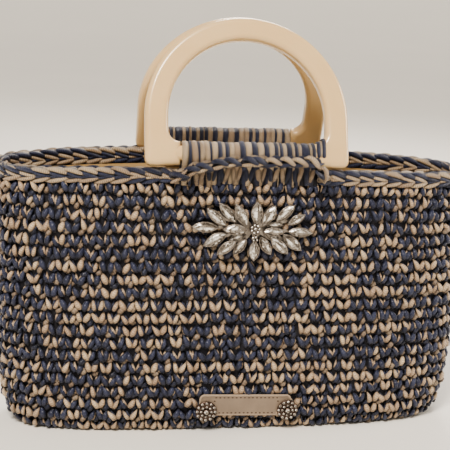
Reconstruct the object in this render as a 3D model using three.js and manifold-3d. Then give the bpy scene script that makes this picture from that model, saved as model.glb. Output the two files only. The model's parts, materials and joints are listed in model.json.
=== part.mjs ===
// A crochet handbag with two D-shaped resin handles, a crystal brooch and a sewn-on leather tag.
// Millimetres. +X runs along the bag, +Y to its back, +Z up. The origin is the middle of its base.
import * as THREE from 'three';
import { mergeVertices } from 'three/addons/utils/BufferGeometryUtils.js';
import Module from 'manifold-3d';

const wasm = await Module();
wasm.setup();

// Clearance between pieces that touch on the real bag
const GAP = 0.3;

// Crochet body: a flat base and one thick knitted wall
const BAG_WIDTH = 360;
const BAG_DEPTH = 92;
const BAG_HEIGHT = 203.4;
const WALL = 6;
const BASE_THICKNESS = 6;
// Plan corners are as round as a superellipse of this power makes them
const BASE_POWER = 3.4;
const MOUTH_POWER = 2.8;
// The mouth stands a little higher between the handles and sags at both ends
const MOUTH_LIFT = 2.2;
const MOUTH_SAG = 2.5;

// Braided edging round the mouth
const EDGING_HEIGHT = 10;
const EDGING_THICKNESS = 8;
const EDGING_SIDES = 8;
// The raised chain in front of a handle, and how far its middle lies below the handle's rod axis
const CHAIN_HEIGHT = 7;
const CHAIN_THICKNESS = 4.5;
const CHAIN_DROP = 2.6;

// Lining pouch inside the body
const LINING_THICKNESS = 1.2;
const LINING_DROP = 15;
const LINING_CLEARANCE = 0.6;

// D handle, flat cast resin with rounded edges
const HANDLE_WIDTH = 150;
const HANDLE_HEIGHT = 111;
const HANDLE_RING = 17;
const HANDLE_THICKNESS = 11;
const HANDLE_EDGE_ROUND = 4;
const HANDLE_FOOT_HEIGHT = 17.5;
const HANDLE_FILLET = 8.5;
// A foot's outer corner is rounder than the edges by this much
const HANDLE_CORNER_EXTRA = 0.8;
const HANDLE_ROD_RADIUS = 6;
const HANDLE_AXIS_Y = 41;

// Yarn sleeve that wraps the handle's rod
const SLEEVE_RADIUS = 8.9;
const SLEEVE_CLEARANCE = 0.45;
const WEB_THICKNESS = 5;
const FOOT_CLEARANCE = 0.4;

// Brooch on the front
const BROOCH_WIDTH = 89.6;
const BROOCH_X = 5.8;
// From the mouth down to the brooch's middle
const BROOCH_DROP = 42.1;
const BROOCH_PLATE = 1.4;
const BROOCH_SEAT = 1.2;
const BROOCH_SPOKE_WIDTH = 2.2;
// Foot of a stone's cup as a share of the stone's outline
const CUP_FOOT_SHARE = 0.9;
const STONE_HEIGHT = 2.8;
const STONE_TABLE_SHARE = 0.5;
const STONE_POINT_SHARE = 0.62;
const STONE_GIRDLE_SHARE = 0.4;
const BROOCH_BOSS_RADIUS = 3.6;
const BROOCH_BEAD_RADIUS = 1.2;
const BROOCH_BEADS = 7;
const BROOCH_CENTRE_BEAD = 1.56;
// How deep a bead's foot lies in the boss
const BEAD_SINK = 0.05;
// Table of a small round stone as a share of its radius
const BEAD_TABLE_SHARE = 0.5;

// Tag and its two rosettes near the base
const TAG_WIDTH = 71.5;
const TAG_HEIGHT = 17.6;
const TAG_THICKNESS = 1.5;
const TAG_CORNER = 4;
const TAG_EDGE_ROUND = 0.4;
const TAG_X = 7;
const TAG_Z = 21.8;
const TAG_ROLL = THREE.MathUtils.degToRad(1.3);
const ROSETTE_RADIUS = 8.2;
const ROSETTE_PLATE = 1.3;
const ROSETTE_BEAD_RADIUS = 1.15;
const ROSETTE_CENTRE_RADIUS = 2.1;
// Height of a rosette's bead as a share of its radius
const ROSETTE_BEAD_RISE = 0.9;

// Fineness of the round forms
const BODY_SIDES = 64;
const EDGING_STEPS_PER_SIDE = 44;
const TUBE_SIDES = 16;
const ARC_STEPS = 22;
const CORNER_STEPS = 4;
const TAG_CORNER_STEPS = 5;
const OUTLINE_STEPS = 720;
const BOSS_SIDES = 10;
const BEAD_SIDES = 8;
const ROSETTE_SIDES = 20;
const ROSETTE_BEAD_SIDES = 6;

// Wall sections from the base up, as shares of the bag's height, half width and half depth
const SECTIONS = [
  { height: 0.0, width: 0.87, depth: 0.79 },
  { height: 0.018, width: 0.922, depth: 0.875 },
  { height: 0.055, width: 0.96, depth: 0.93 },
  { height: 0.13, width: 0.985, depth: 0.955 },
  { height: 0.3, width: 1.0, depth: 0.985 },
  { height: 0.55, width: 1.003, depth: 1.01 },
  { height: 0.78, width: 1.0, depth: 1.01 },
  { height: 1.0, width: 0.998, depth: 1.0 },
];

// Path of the edging past a handle, from its left foot to its right as seen from outside. Along is a share
// of the feet's inner edges, lift and out are shares of the way to the raised chain, and slim is its share
// of the chain's size.
const CHAIN_PATH = [
  { along: -1.2, lift: 0.0, out: 0.0, slim: 0.0 },
  { along: -1.12, lift: 0.0, out: 0.5, slim: 0.4 },
  { along: -1.04, lift: 0.05, out: 1.0, slim: 0.8 },
  { along: -0.97, lift: 0.28, out: 1.0, slim: 1.0 },
  { along: -0.7, lift: 0.6, out: 1.0, slim: 1.0 },
  { along: -0.4, lift: 0.86, out: 1.0, slim: 1.0 },
  { along: -0.2, lift: 1.0, out: 1.0, slim: 1.0 },
  { along: 0.93, lift: 1.0, out: 1.0, slim: 1.0 },
  { along: 1.0, lift: 0.8, out: 1.0, slim: 1.0 },
  { along: 1.06, lift: 0.3, out: 1.0, slim: 0.9 },
  { along: 1.12, lift: 0.05, out: 0.6, slim: 0.6 },
  { along: 1.2, lift: 0.0, out: 0.0, slim: 0.0 },
];

// Marquise stones of the brooch. Right and up run from its middle, and they, length and width are shares
// of the brooch's width. Turn is in degrees from the right. Tier 0 lies on the plate and tier 1 over it.
const STONES = [
  { right: 0.008, up: 0.145, turn: 90, length: 0.184, width: 0.089, tier: 1 },
  { right: 0.109, up: 0.125, turn: 60, length: 0.195, width: 0.080, tier: 1 },
  { right: 0.251, up: 0.137, turn: 44, length: 0.201, width: 0.076, tier: 0 },
  { right: 0.346, up: 0.085, turn: 31, length: 0.162, width: 0.062, tier: 0 },
  { right: 0.158, up: -0.009, turn: -1, length: 0.179, width: 0.065, tier: 1 },
  { right: 0.384, up: -0.020, turn: -4, length: 0.206, width: 0.074, tier: 0 },
  { right: 0.319, up: -0.107, turn: -40, length: 0.212, width: 0.085, tier: 0 },
  { right: 0.208, up: -0.127, turn: -42, length: 0.201, width: 0.080, tier: 1 },
  { right: 0.098, up: -0.134, turn: -57, length: 0.179, width: 0.076, tier: 0 },
  { right: 0.000, up: -0.170, turn: -90, length: 0.167, width: 0.080, tier: 1 },
  { right: -0.112, up: -0.144, turn: -128, length: 0.162, width: 0.071, tier: 0 },
  { right: -0.230, up: -0.144, turn: -143, length: 0.190, width: 0.076, tier: 1 },
  { right: -0.319, up: -0.085, turn: -151, length: 0.218, width: 0.087, tier: 0 },
  { right: -0.161, up: 0.007, turn: 180, length: 0.201, width: 0.085, tier: 1 },
  { right: -0.404, up: 0.019, turn: 178, length: 0.218, width: 0.080, tier: 0 },
  { right: -0.321, up: 0.109, turn: 140, length: 0.212, width: 0.074, tier: 1 },
  { right: -0.225, up: 0.138, turn: 133, length: 0.212, width: 0.076, tier: 0 },
  { right: -0.118, up: 0.125, turn: 119, length: 0.206, width: 0.083, tier: 1 },
  { right: -0.136, up: -0.067, turn: -160, length: 0.140, width: 0.058, tier: 0 },
  { right: 0.141, up: -0.051, turn: -22, length: 0.134, width: 0.058, tier: 0 },
  { right: 0.167, up: 0.036, turn: 3, length: 0.134, width: 0.051, tier: 0 },
];

// Middles of the rosettes as shares of the tag's width and height
const TAG_ROSETTES = [
  { name: 'tag_rosette_left', right: -0.422, up: -0.261 },
  { name: 'tag_rosette_right', right: 0.462, up: -0.193 },
];

// Rings of small stones on a rosette, each at a share of its radius
const ROSETTE_RINGS = [
  { beads: 1, reach: 0, radius: ROSETTE_CENTRE_RADIUS },
  { beads: 8, reach: 0.5, radius: ROSETTE_BEAD_RADIUS },
  { beads: 13, reach: 0.84, radius: ROSETTE_BEAD_RADIUS },
];

const COLOURS = {
  crochet: { color: 0x6b6a78, roughness: 0.75, metalness: 0.0 },
  edging: { color: 0x4a4f70, roughness: 0.7, metalness: 0.0 },
  wrap: { color: 0xa58c74, roughness: 0.7, metalness: 0.0 },
  resin: { color: 0xe9d9bf, roughness: 0.28, metalness: 0.0 },
  lining: { color: 0x8c6a33, roughness: 0.85, metalness: 0.0 },
  silver: { color: 0xb9b9bd, roughness: 0.25, metalness: 1.0 },
  crystal: { color: 0xe6e9ec, roughness: 0.05, metalness: 0.0 },
  tag: { color: 0xc9b193, roughness: 0.6, metalness: 0.0 },
  gunmetal: { color: 0x5d5650, roughness: 0.35, metalness: 1.0 },
};

const bag = new THREE.Group();

function addPiece(name, geometry, finish, parent = bag) {
  const mesh = new THREE.Mesh(geometry, new THREE.MeshStandardMaterial(COLOURS[finish]));
  mesh.name = name;
  parent.add(mesh);
  return mesh;
}

function solidOf(geometry) {
  const bare = geometry.clone();
  bare.deleteAttribute('normal');
  bare.deleteAttribute('uv');
  const merged = mergeVertices(bare, 1e-4);
  return new wasm.Manifold(new wasm.Mesh({
    numProp: 3,
    vertProperties: new Float32Array(merged.attributes.position.array),
    triVerts: new Uint32Array(merged.index.array),
  }));
}

function geometryOf(solid) {
  const mesh = solid.getMesh();
  const geometry = new THREE.BufferGeometry();
  geometry.setAttribute('position', new THREE.BufferAttribute(new Float32Array(mesh.vertProperties), 3));
  geometry.setIndex(new THREE.BufferAttribute(new Uint32Array(mesh.triVerts), 1));
  geometry.computeVertexNormals();
  return geometry;
}

function arcPoints(x, y, radius, from, to, steps) {
  const points = [];
  for (let step = 0; step <= steps; step += 1) {
    const angle = THREE.MathUtils.lerp(from, to, step / steps);
    points.push(new THREE.Vector2(x + radius * Math.cos(angle), y + radius * Math.sin(angle)));
  }
  return points;
}

// A flat slab with rounded edges, low face at zero. Its outline is given for any inset from the edge.
function roundedSlab(outlineAt, thickness, edgeRound, steps) {
  const levels = [];
  for (let step = 0; step <= steps; step += 1) {
    const angle = (Math.PI / 2) * (step / steps);
    levels.push({ inset: edgeRound * (1 - Math.sin(angle)), z: edgeRound * (1 - Math.cos(angle)) });
  }
  const both = [...levels, ...levels.map((each) => ({ inset: each.inset, z: thickness - each.z })).reverse()];
  const rings = both.map((each) => outlineAt(each.inset));
  const count = rings[0].length;
  const points = rings.flatMap((ring, index) => ring.map((p) => new THREE.Vector3(p.x, p.y, both[index].z)));
  const triangles = [];
  for (let band = 0; band < rings.length - 1; band += 1) {
    for (let side = 0; side < count; side += 1) {
      const next = (side + 1) % count;
      const low = band * count;
      const high = low + count;
      triangles.push(low + side, low + next, high + next);
      triangles.push(low + side, high + next, high + side);
    }
  }
  const top = (rings.length - 1) * count;
  for (const [one, two, three] of THREE.ShapeUtils.triangulateShape(rings[0], [])) {
    triangles.push(three, two, one);
    triangles.push(top + one, top + two, top + three);
  }
  const geometry = new THREE.BufferGeometry().setFromPoints(points);
  geometry.setIndex(triangles);
  geometry.computeVertexNormals();
  return geometry;
}

// A closed skin through rings of equal point counts. Ends are closed by a fan unless the rings loop.
function loft(rings, looped = false) {
  const sides = rings[0].length;
  const points = rings.flat();
  const triangles = [];
  const bands = looped ? rings.length : rings.length - 1;
  for (let band = 0; band < bands; band += 1) {
    const low = band * sides;
    const high = ((band + 1) % rings.length) * sides;
    for (let side = 0; side < sides; side += 1) {
      const next = (side + 1) % sides;
      triangles.push(low + side, low + next, high + next);
      triangles.push(low + side, high + next, high + side);
    }
  }
  if (!looped) {
    const last = (rings.length - 1) * sides;
    for (const [first, flip] of [[0, true], [last, false]]) {
      const middle = points.length;
      const centre = new THREE.Vector3();
      for (let side = 0; side < sides; side += 1) {
        centre.addScaledVector(points[first + side], 1 / sides);
      }
      points.push(centre);
      for (let side = 0; side < sides; side += 1) {
        const here = first + side;
        const next = first + ((side + 1) % sides);
        triangles.push(...(flip ? [middle, next, here] : [middle, here, next]));
      }
    }
  }
  const geometry = new THREE.BufferGeometry().setFromPoints(points);
  geometry.setIndex(triangles);
  geometry.computeVertexNormals();
  return geometry;
}

// Plan outline of the bag, evenly spaced, counter-clockwise seen from above
function planOutline(halfWidth, halfDepth, power, count) {
  const dense = [];
  for (let step = 0; step <= OUTLINE_STEPS; step += 1) {
    const angle = (2 * Math.PI * step) / OUTLINE_STEPS;
    const x = halfWidth * Math.sign(Math.cos(angle)) * Math.abs(Math.cos(angle)) ** (2 / power);
    const y = halfDepth * Math.sign(Math.sin(angle)) * Math.abs(Math.sin(angle)) ** (2 / power);
    dense.push(new THREE.Vector2(x, y));
  }
  const reached = [0];
  for (let step = 1; step <= OUTLINE_STEPS; step += 1) {
    reached.push(reached[step - 1] + dense[step].distanceTo(dense[step - 1]));
  }
  const outline = [];
  let step = 1;
  for (let index = 0; index < count; index += 1) {
    const goal = (reached[OUTLINE_STEPS] * index) / count;
    while (reached[step] < goal) step += 1;
    const share = (goal - reached[step - 1]) / (reached[step] - reached[step - 1]);
    outline.push(dense[step - 1].clone().lerp(dense[step], share));
  }
  return outline;
}

function mouthRise(x) {
  return MOUTH_LIFT - (MOUTH_LIFT + MOUTH_SAG) * (x / (BAG_WIDTH / 2)) ** 2;
}

// Half width, half depth and corner power of the outer wall at a height
function wallAt(z) {
  const share = THREE.MathUtils.clamp(z / BAG_HEIGHT, 0, 1);
  let row = 1;
  while (SECTIONS[row].height < share) row += 1;
  const low = SECTIONS[row - 1];
  const high = SECTIONS[row];
  const part = (share - low.height) / (high.height - low.height);
  return {
    halfWidth: (BAG_WIDTH / 2) * THREE.MathUtils.lerp(low.width, high.width, part),
    halfDepth: (BAG_DEPTH / 2) * THREE.MathUtils.lerp(low.depth, high.depth, part),
    power: THREE.MathUtils.lerp(BASE_POWER, MOUTH_POWER, share),
  };
}

function depthAt(x, z) {
  const wall = wallAt(z);
  return wall.halfDepth * (1 - Math.abs(x / wall.halfWidth) ** wall.power) ** (1 / wall.power);
}

// One level ring of the bag, moved in from the outer wall. Near the mouth it follows the mouth's curve.
function wallRing(z, inset, count, rises = false) {
  const wall = wallAt(z);
  const outline = planOutline(wall.halfWidth - inset, wall.halfDepth - inset, wall.power, count);
  return outline.map((point) => new THREE.Vector3(point.x, point.y, rises ? z + mouthRise(point.x) : z));
}

const BODY_TOP = BAG_HEIGHT - EDGING_HEIGHT - GAP;

function crochetBody() {
  const outer = SECTIONS.filter((row) => row.height * BAG_HEIGHT < BODY_TOP)
    .map((row) => wallRing(row.height * BAG_HEIGHT, 0, BODY_SIDES));
  const inner = SECTIONS.filter((row) => row.height * BAG_HEIGHT < BODY_TOP)
    .filter((row) => row.height * BAG_HEIGHT > BASE_THICKNESS)
    .map((row) => wallRing(row.height * BAG_HEIGHT, WALL, BODY_SIDES));
  const floor = wallRing(BASE_THICKNESS, WALL * 1.5, BODY_SIDES);
  return loft([
    ...outer,
    wallRing(BODY_TOP, 0, BODY_SIDES, true),
    wallRing(BODY_TOP, WALL, BODY_SIDES, true),
    ...inner.reverse(),
    floor,
  ]);
}

function liningPouch() {
  const outside = WALL + LINING_CLEARANCE;
  const inside = outside + LINING_THICKNESS;
  const top = BAG_HEIGHT - LINING_DROP;
  const low = BASE_THICKNESS + GAP;
  const levels = SECTIONS.map((row) => row.height * BAG_HEIGHT)
    .filter((z) => z > low + LINING_THICKNESS && z < top);
  return loft([
    wallRing(low, WALL * 1.5 + LINING_CLEARANCE, BODY_SIDES),
    ...levels.map((z) => wallRing(z, outside, BODY_SIDES)),
    wallRing(top, outside, BODY_SIDES, true),
    wallRing(top, inside, BODY_SIDES, true),
    ...levels.reverse().map((z) => wallRing(z, inside, BODY_SIDES)),
    wallRing(low + LINING_THICKNESS, WALL * 1.5 + LINING_CLEARANCE + LINING_THICKNESS, BODY_SIDES),
  ]);
}

// Handle hinge: the rod's height above the foot, the foot's reach as it turns, and the hinge's height
const FOOT_INNER_X = HANDLE_WIDTH / 2 - HANDLE_RING - HANDLE_FILLET;
const ROD_ABOVE_FOOT = HANDLE_FOOT_HEIGHT / 2;
const FOOT_SWEEP = HANDLE_EDGE_ROUND
  + Math.hypot(ROD_ABOVE_FOOT - HANDLE_EDGE_ROUND, HANDLE_THICKNESS / 2 - HANDLE_EDGE_ROUND);
const HINGE_Z = BAG_HEIGHT + mouthRise(FOOT_INNER_X) + FOOT_SWEEP + FOOT_CLEARANCE;

// The handles lean in until their rounded top edges meet over the mouth
const TOP_CENTRE_HEIGHT = HANDLE_HEIGHT - ROD_ABOVE_FOOT - HANDLE_EDGE_ROUND;
const TOP_CENTRE_OUT = HANDLE_THICKNESS / 2 - HANDLE_EDGE_ROUND;
const HANDLE_LEAN = Math.asin((HANDLE_AXIS_Y - GAP - HANDLE_EDGE_ROUND)
  / Math.hypot(TOP_CENTRE_HEIGHT, TOP_CENTRE_OUT)) - Math.atan2(TOP_CENTRE_OUT, TOP_CENTRE_HEIGHT);

function smooth(part) {
  return part * part * (3 - 2 * part);
}

// How far along its handle a point of the rim lies, the same way round at the front and the back
function alongHandle(point) {
  return (point.y < 0 ? point.x : -point.x) / FOOT_INNER_X;
}

function chainAt(along) {
  const first = CHAIN_PATH[0];
  const last = CHAIN_PATH[CHAIN_PATH.length - 1];
  if (along <= first.along) return first;
  if (along >= last.along) return last;
  let row = 1;
  while (CHAIN_PATH[row].along < along) row += 1;
  const near = CHAIN_PATH[row - 1];
  const far = CHAIN_PATH[row];
  const part = smooth((along - near.along) / (far.along - near.along));
  return {
    lift: THREE.MathUtils.lerp(near.lift, far.lift, part),
    out: THREE.MathUtils.lerp(near.out, far.out, part),
    slim: THREE.MathUtils.lerp(near.slim, far.slim, part),
  };
}

// Plan points of the edging: even steps round the rim, and the chain path's own rows where it climbs
function edgingPath(wall) {
  const halfWidth = wall.halfWidth - WALL / 2;
  const halfDepth = wall.halfDepth - WALL / 2;
  const even = planOutline(halfWidth, halfDepth, wall.power, EDGING_STEPS_PER_SIDE * 2);
  const step = (2 * halfWidth) / EDGING_STEPS_PER_SIDE / FOOT_INNER_X / 2;
  const reach = CHAIN_PATH[CHAIN_PATH.length - 1].along + step;
  const level = CHAIN_PATH.filter((row) => row.lift === 1).map((row) => row.along);
  const kept = even.filter((point) => {
    const along = alongHandle(point);
    return Math.abs(along) > reach || (along > level[0] + step && along < level[1] - step);
  });
  for (const side of [-1, 1]) {
    for (const row of CHAIN_PATH) {
      const x = -side * row.along * FOOT_INNER_X;
      const y = side * halfDepth * (1 - Math.abs(x / halfWidth) ** wall.power) ** (1 / wall.power);
      kept.push(new THREE.Vector2(x, y));
    }
  }
  return kept.sort((first, second) => Math.atan2(first.y * BAG_WIDTH, first.x * BAG_DEPTH)
    - Math.atan2(second.y * BAG_WIDTH, second.x * BAG_DEPTH));
}

// The edging lies on the wall's top, and past each handle it climbs over the front of the yarn sleeve
function mouthEdging() {
  const raisedY = HANDLE_AXIS_Y + FOOT_SWEEP + GAP + CHAIN_THICKNESS / 2;
  const raisedZ = HINGE_Z - CHAIN_DROP;
  const path = edgingPath(wallAt(BODY_TOP));
  const rings = path.map((point, index) => {
    const before = path[(index + path.length - 1) % path.length];
    const after = path[(index + 1) % path.length];
    const outward = new THREE.Vector2(after.y - before.y, before.x - after.x).normalize();
    const along = alongHandle(point);
    const chain = chainAt(along);
    const atHandle = Math.abs(along) < CHAIN_PATH[CHAIN_PATH.length - 1].along;
    const lowZ = BODY_TOP + GAP + EDGING_HEIGHT / 2 + mouthRise(point.x);
    const middleZ = THREE.MathUtils.lerp(lowZ, raisedZ, chain.lift);
    const outShift = (raisedY - Math.abs(point.y)) * chain.out;
    const thickness = THREE.MathUtils.lerp(EDGING_THICKNESS, CHAIN_THICKNESS, chain.slim);
    const height = THREE.MathUtils.lerp(EDGING_HEIGHT, CHAIN_HEIGHT, chain.slim);
    const aim = atHandle ? new THREE.Vector2(0, Math.sign(point.y)) : outward;
    const ring = [];
    for (let side = 0; side < EDGING_SIDES; side += 1) {
      const angle = (-2 * Math.PI * (side + 0.5)) / EDGING_SIDES;
      const reach = 1 / Math.cos(Math.PI / EDGING_SIDES);
      const out = outShift + (thickness / 2) * reach * Math.cos(angle);
      const up = (height / 2) * reach * Math.sin(angle);
      ring.push(new THREE.Vector3(point.x + aim.x * out, point.y + aim.y * out, middleZ + up));
    }
    return ring;
  });
  return loft(rings, true);
}

// Handle outline in its own plane, with the rod's axis at the origin. Both feet stand on the low edge,
// and a fillet joins each leg to its foot.
function handleOutline(inset) {
  const half = HANDLE_WIDTH / 2;
  const inner = half - HANDLE_RING;
  const low = -ROD_ABOVE_FOOT;
  const archZ = low + HANDLE_HEIGHT - half;
  const filletZ = low + HANDLE_FOOT_HEIGHT + HANDLE_FILLET;
  const filletRadius = HANDLE_FILLET + inset;
  const filletEnd = Math.acos(inset / filletRadius);
  const corner = HANDLE_EDGE_ROUND + HANDLE_CORNER_EXTRA;
  const round = corner - inset;
  return [
    ...arcPoints(-half + corner, low + corner, round, Math.PI, 1.5 * Math.PI, CORNER_STEPS),
    new THREE.Vector2(-FOOT_INNER_X - inset, low + inset),
    ...arcPoints(-FOOT_INNER_X, filletZ, filletRadius, Math.PI + filletEnd, Math.PI, CORNER_STEPS),
    ...arcPoints(0, archZ, inner + inset, Math.PI, 0, ARC_STEPS),
    ...arcPoints(FOOT_INNER_X, filletZ, filletRadius, 0, -filletEnd, CORNER_STEPS),
    new THREE.Vector2(FOOT_INNER_X + inset, low + inset),
    ...arcPoints(half - corner, low + corner, round, -0.5 * Math.PI, 0, CORNER_STEPS),
    ...arcPoints(0, archZ, half - inset, 0, Math.PI, ARC_STEPS),
  ];
}

function rodBetween(halfLength, radius) {
  return new THREE.CylinderGeometry(radius, radius, 2 * halfLength, TUBE_SIDES).rotateZ(Math.PI / 2);
}

function handleGeometry() {
  const ring = roundedSlab(handleOutline, HANDLE_THICKNESS, HANDLE_EDGE_ROUND, 2);
  ring.translate(0, 0, -HANDLE_THICKNESS / 2);
  ring.rotateX(Math.PI / 2);
  const rod = rodBetween(FOOT_INNER_X + HANDLE_EDGE_ROUND, HANDLE_ROD_RADIUS);
  return geometryOf(solidOf(ring).add(solidOf(rod)));
}

// The sleeve turns round the rod and its web is worked down to the wall's top
function wrapGeometry() {
  const halfLength = FOOT_INNER_X - GAP;
  const webFoot = BODY_TOP + GAP + mouthRise(0) - HINGE_Z;
  const webHigh = -HANDLE_ROD_RADIUS;
  const wallMiddle = depthAt(0, BODY_TOP) - WALL / 2;
  const web = new THREE.BoxGeometry(2 * halfLength, WEB_THICKNESS, webHigh - webFoot);
  web.translate(0, HANDLE_AXIS_Y - wallMiddle, (webHigh + webFoot) / 2);
  const sleeve = solidOf(rodBetween(halfLength, SLEEVE_RADIUS));
  const bore = solidOf(rodBetween(halfLength + 1, HANDLE_ROD_RADIUS + SLEEVE_CLEARANCE));
  return geometryOf(sleeve.add(solidOf(web)).subtract(bore));
}

function addHandles() {
  for (const [side, facing] of [['front', 0], ['back', Math.PI]]) {
    const mouthSide = new THREE.Group();
    mouthSide.rotation.z = facing;
    const hinge = new THREE.Group();
    hinge.position.set(0, -HANDLE_AXIS_Y, HINGE_Z);
    mouthSide.add(hinge);
    addPiece(`handle_wrap_${side}`, wrapGeometry(), 'wrap', hinge);
    const handle = addPiece(`handle_${side}`, handleGeometry(), 'resin', hinge);
    handle.rotation.x = -HANDLE_LEAN;
    bag.add(mouthSide);
  }
}

// A pointed oval, tips on the X axis
function marquiseOutline(length, width) {
  const outline = [];
  for (const share of [-1, -0.5, 0, 0.5]) {
    outline.push(new THREE.Vector2(share * length / 2, -(width / 2) * (1 - share * share)));
  }
  for (const share of [1, 0.5, 0, -0.5]) {
    outline.push(new THREE.Vector2(share * length / 2, (width / 2) * (1 - share * share)));
  }
  return outline;
}

function level(outline, share, height) {
  return outline.map((point) => new THREE.Vector3(point.x * share, point.y * share, height));
}

// A stone's outline with its tips on the X axis, wider all round by a margin
function stoneOutline(stone, margin = 0) {
  return marquiseOutline(stone.length * BROOCH_WIDTH + 2 * margin, stone.width * BROOCH_WIDTH + 2 * margin);
}

function stoneGeometry(stone) {
  const outline = stoneOutline(stone);
  return loft([
    level(outline, STONE_POINT_SHARE, 0),
    level(outline, 1, STONE_HEIGHT * STONE_GIRDLE_SHARE),
    level(outline, STONE_TABLE_SHARE, STONE_HEIGHT),
  ]);
}

// Places a geometry built in the brooch's plane, where Z runs away from the bag
function placeInBrooch(geometry, stone, height) {
  geometry.rotateZ(THREE.MathUtils.degToRad(stone.turn));
  geometry.translate(stone.right * BROOCH_WIDTH, stone.up * BROOCH_WIDTH, height);
  return geometry;
}

function stoneSeat(tier) {
  return BROOCH_PLATE + BROOCH_SEAT + tier * (STONE_HEIGHT + GAP);
}

// Room for the stones of a tier, open upwards
function stoneRooms(tier) {
  const rooms = STONES.filter((stone) => stone.tier === tier).map((stone) => {
    const outline = stoneOutline(stone, GAP);
    const room = loft([level(outline, 1, 0), level(outline, 1, stoneSeat(2))]);
    return solidOf(placeInBrooch(room, stone, stoneSeat(tier) - GAP));
  });
  return wasm.Manifold.union(rooms);
}

function broochBoss() {
  const height = stoneSeat(1) + STONE_HEIGHT * STONE_GIRDLE_SHARE;
  const boss = new THREE.CylinderGeometry(BROOCH_BOSS_RADIUS, BROOCH_BOSS_RADIUS, height, BOSS_SIDES);
  boss.rotateX(Math.PI / 2).translate(0, 0, height / 2);
  const parts = [solidOf(boss)];
  for (let index = 0; index <= BROOCH_BEADS; index += 1) {
    const angle = (2 * Math.PI * index) / BROOCH_BEADS;
    const middle = index === BROOCH_BEADS;
    const reach = middle ? 0 : BROOCH_BOSS_RADIUS - BROOCH_BEAD_RADIUS;
    const size = middle ? BROOCH_CENTRE_BEAD : BROOCH_BEAD_RADIUS;
    const bead = new THREE.CylinderGeometry(size * BEAD_TABLE_SHARE, size, size, BEAD_SIDES);
    bead.rotateX(Math.PI / 2);
    bead.translate(reach * Math.cos(angle), reach * Math.sin(angle), height + size / 2 - BEAD_SINK);
    parts.push(solidOf(bead));
  }
  return wasm.Manifold.union(parts);
}

// A cup under each stone, a spoke from the middle to each cup, and a boss with small stones in the middle
function broochSetting() {
  const cups = STONES.map((stone) => {
    const outline = stoneOutline(stone);
    const cup = loft([
      level(outline, CUP_FOOT_SHARE, 0), level(outline, STONE_POINT_SHARE, stoneSeat(stone.tier) - GAP)]);
    return solidOf(placeInBrooch(cup, stone, 0));
  });
  const spokes = STONES.map((stone) => {
    const reach = Math.hypot(stone.right, stone.up) * BROOCH_WIDTH;
    const spoke = new THREE.BoxGeometry(reach, BROOCH_SPOKE_WIDTH, BROOCH_PLATE);
    spoke.translate(reach / 2, 0, BROOCH_PLATE / 2);
    spoke.rotateZ(Math.atan2(stone.up, stone.right));
    return solidOf(spoke);
  });
  const setting = wasm.Manifold.union([...cups, ...spokes]).subtract(stoneRooms(0)).add(broochBoss());
  return geometryOf(setting.subtract(stoneRooms(1)));
}

function addBrooch() {
  const brooch = new THREE.Group();
  const z = BAG_HEIGHT - BROOCH_DROP;
  const reach = BROOCH_WIDTH * Math.max(...STONES.map((stone) => Math.abs(stone.right)));
  const wallY = Math.max(depthAt(BROOCH_X, z), depthAt(BROOCH_X + reach, z));
  brooch.position.set(BROOCH_X, -wallY - GAP, z);
  brooch.rotation.x = Math.PI / 2;
  addPiece('brooch_setting', broochSetting(), 'silver', brooch);
  STONES.forEach((stone, index) => {
    const name = `brooch_stone_${String(index + 1).padStart(2, '0')}`;
    addPiece(name, placeInBrooch(stoneGeometry(stone), stone, stoneSeat(stone.tier)), 'crystal', brooch);
  });
  bag.add(brooch);
}

function tagOutline(inset) {
  const right = TAG_WIDTH / 2 - TAG_CORNER;
  const up = TAG_HEIGHT / 2 - TAG_CORNER;
  const round = TAG_CORNER - inset;
  return [
    ...arcPoints(right, -up, round, -0.5 * Math.PI, 0, TAG_CORNER_STEPS),
    ...arcPoints(right, up, round, 0, 0.5 * Math.PI, TAG_CORNER_STEPS),
    ...arcPoints(-right, up, round, 0.5 * Math.PI, Math.PI, TAG_CORNER_STEPS),
    ...arcPoints(-right, -up, round, Math.PI, 1.5 * Math.PI, TAG_CORNER_STEPS),
  ];
}

function rosetteGeometry() {
  const plate = new THREE.CylinderGeometry(ROSETTE_RADIUS, ROSETTE_RADIUS, ROSETTE_PLATE, ROSETTE_SIDES);
  const parts = [solidOf(plate)];
  for (const ring of ROSETTE_RINGS) {
    for (let index = 0; index < ring.beads; index += 1) {
      const angle = (2 * Math.PI * index) / ring.beads;
      const reach = ring.reach * ROSETTE_RADIUS;
      const rise = ring.radius * ROSETTE_BEAD_RISE;
      const bead = new THREE.CylinderGeometry(
        ring.radius * BEAD_TABLE_SHARE, ring.radius, rise, ROSETTE_BEAD_SIDES);
      bead.translate(
        reach * Math.cos(angle), (ROSETTE_PLATE + rise) / 2 - BEAD_SINK, reach * Math.sin(angle));
      parts.push(solidOf(bead));
    }
  }
  return geometryOf(wasm.Manifold.union(parts)).rotateX(Math.PI / 2).translate(0, 0, ROSETTE_PLATE / 2);
}

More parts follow.
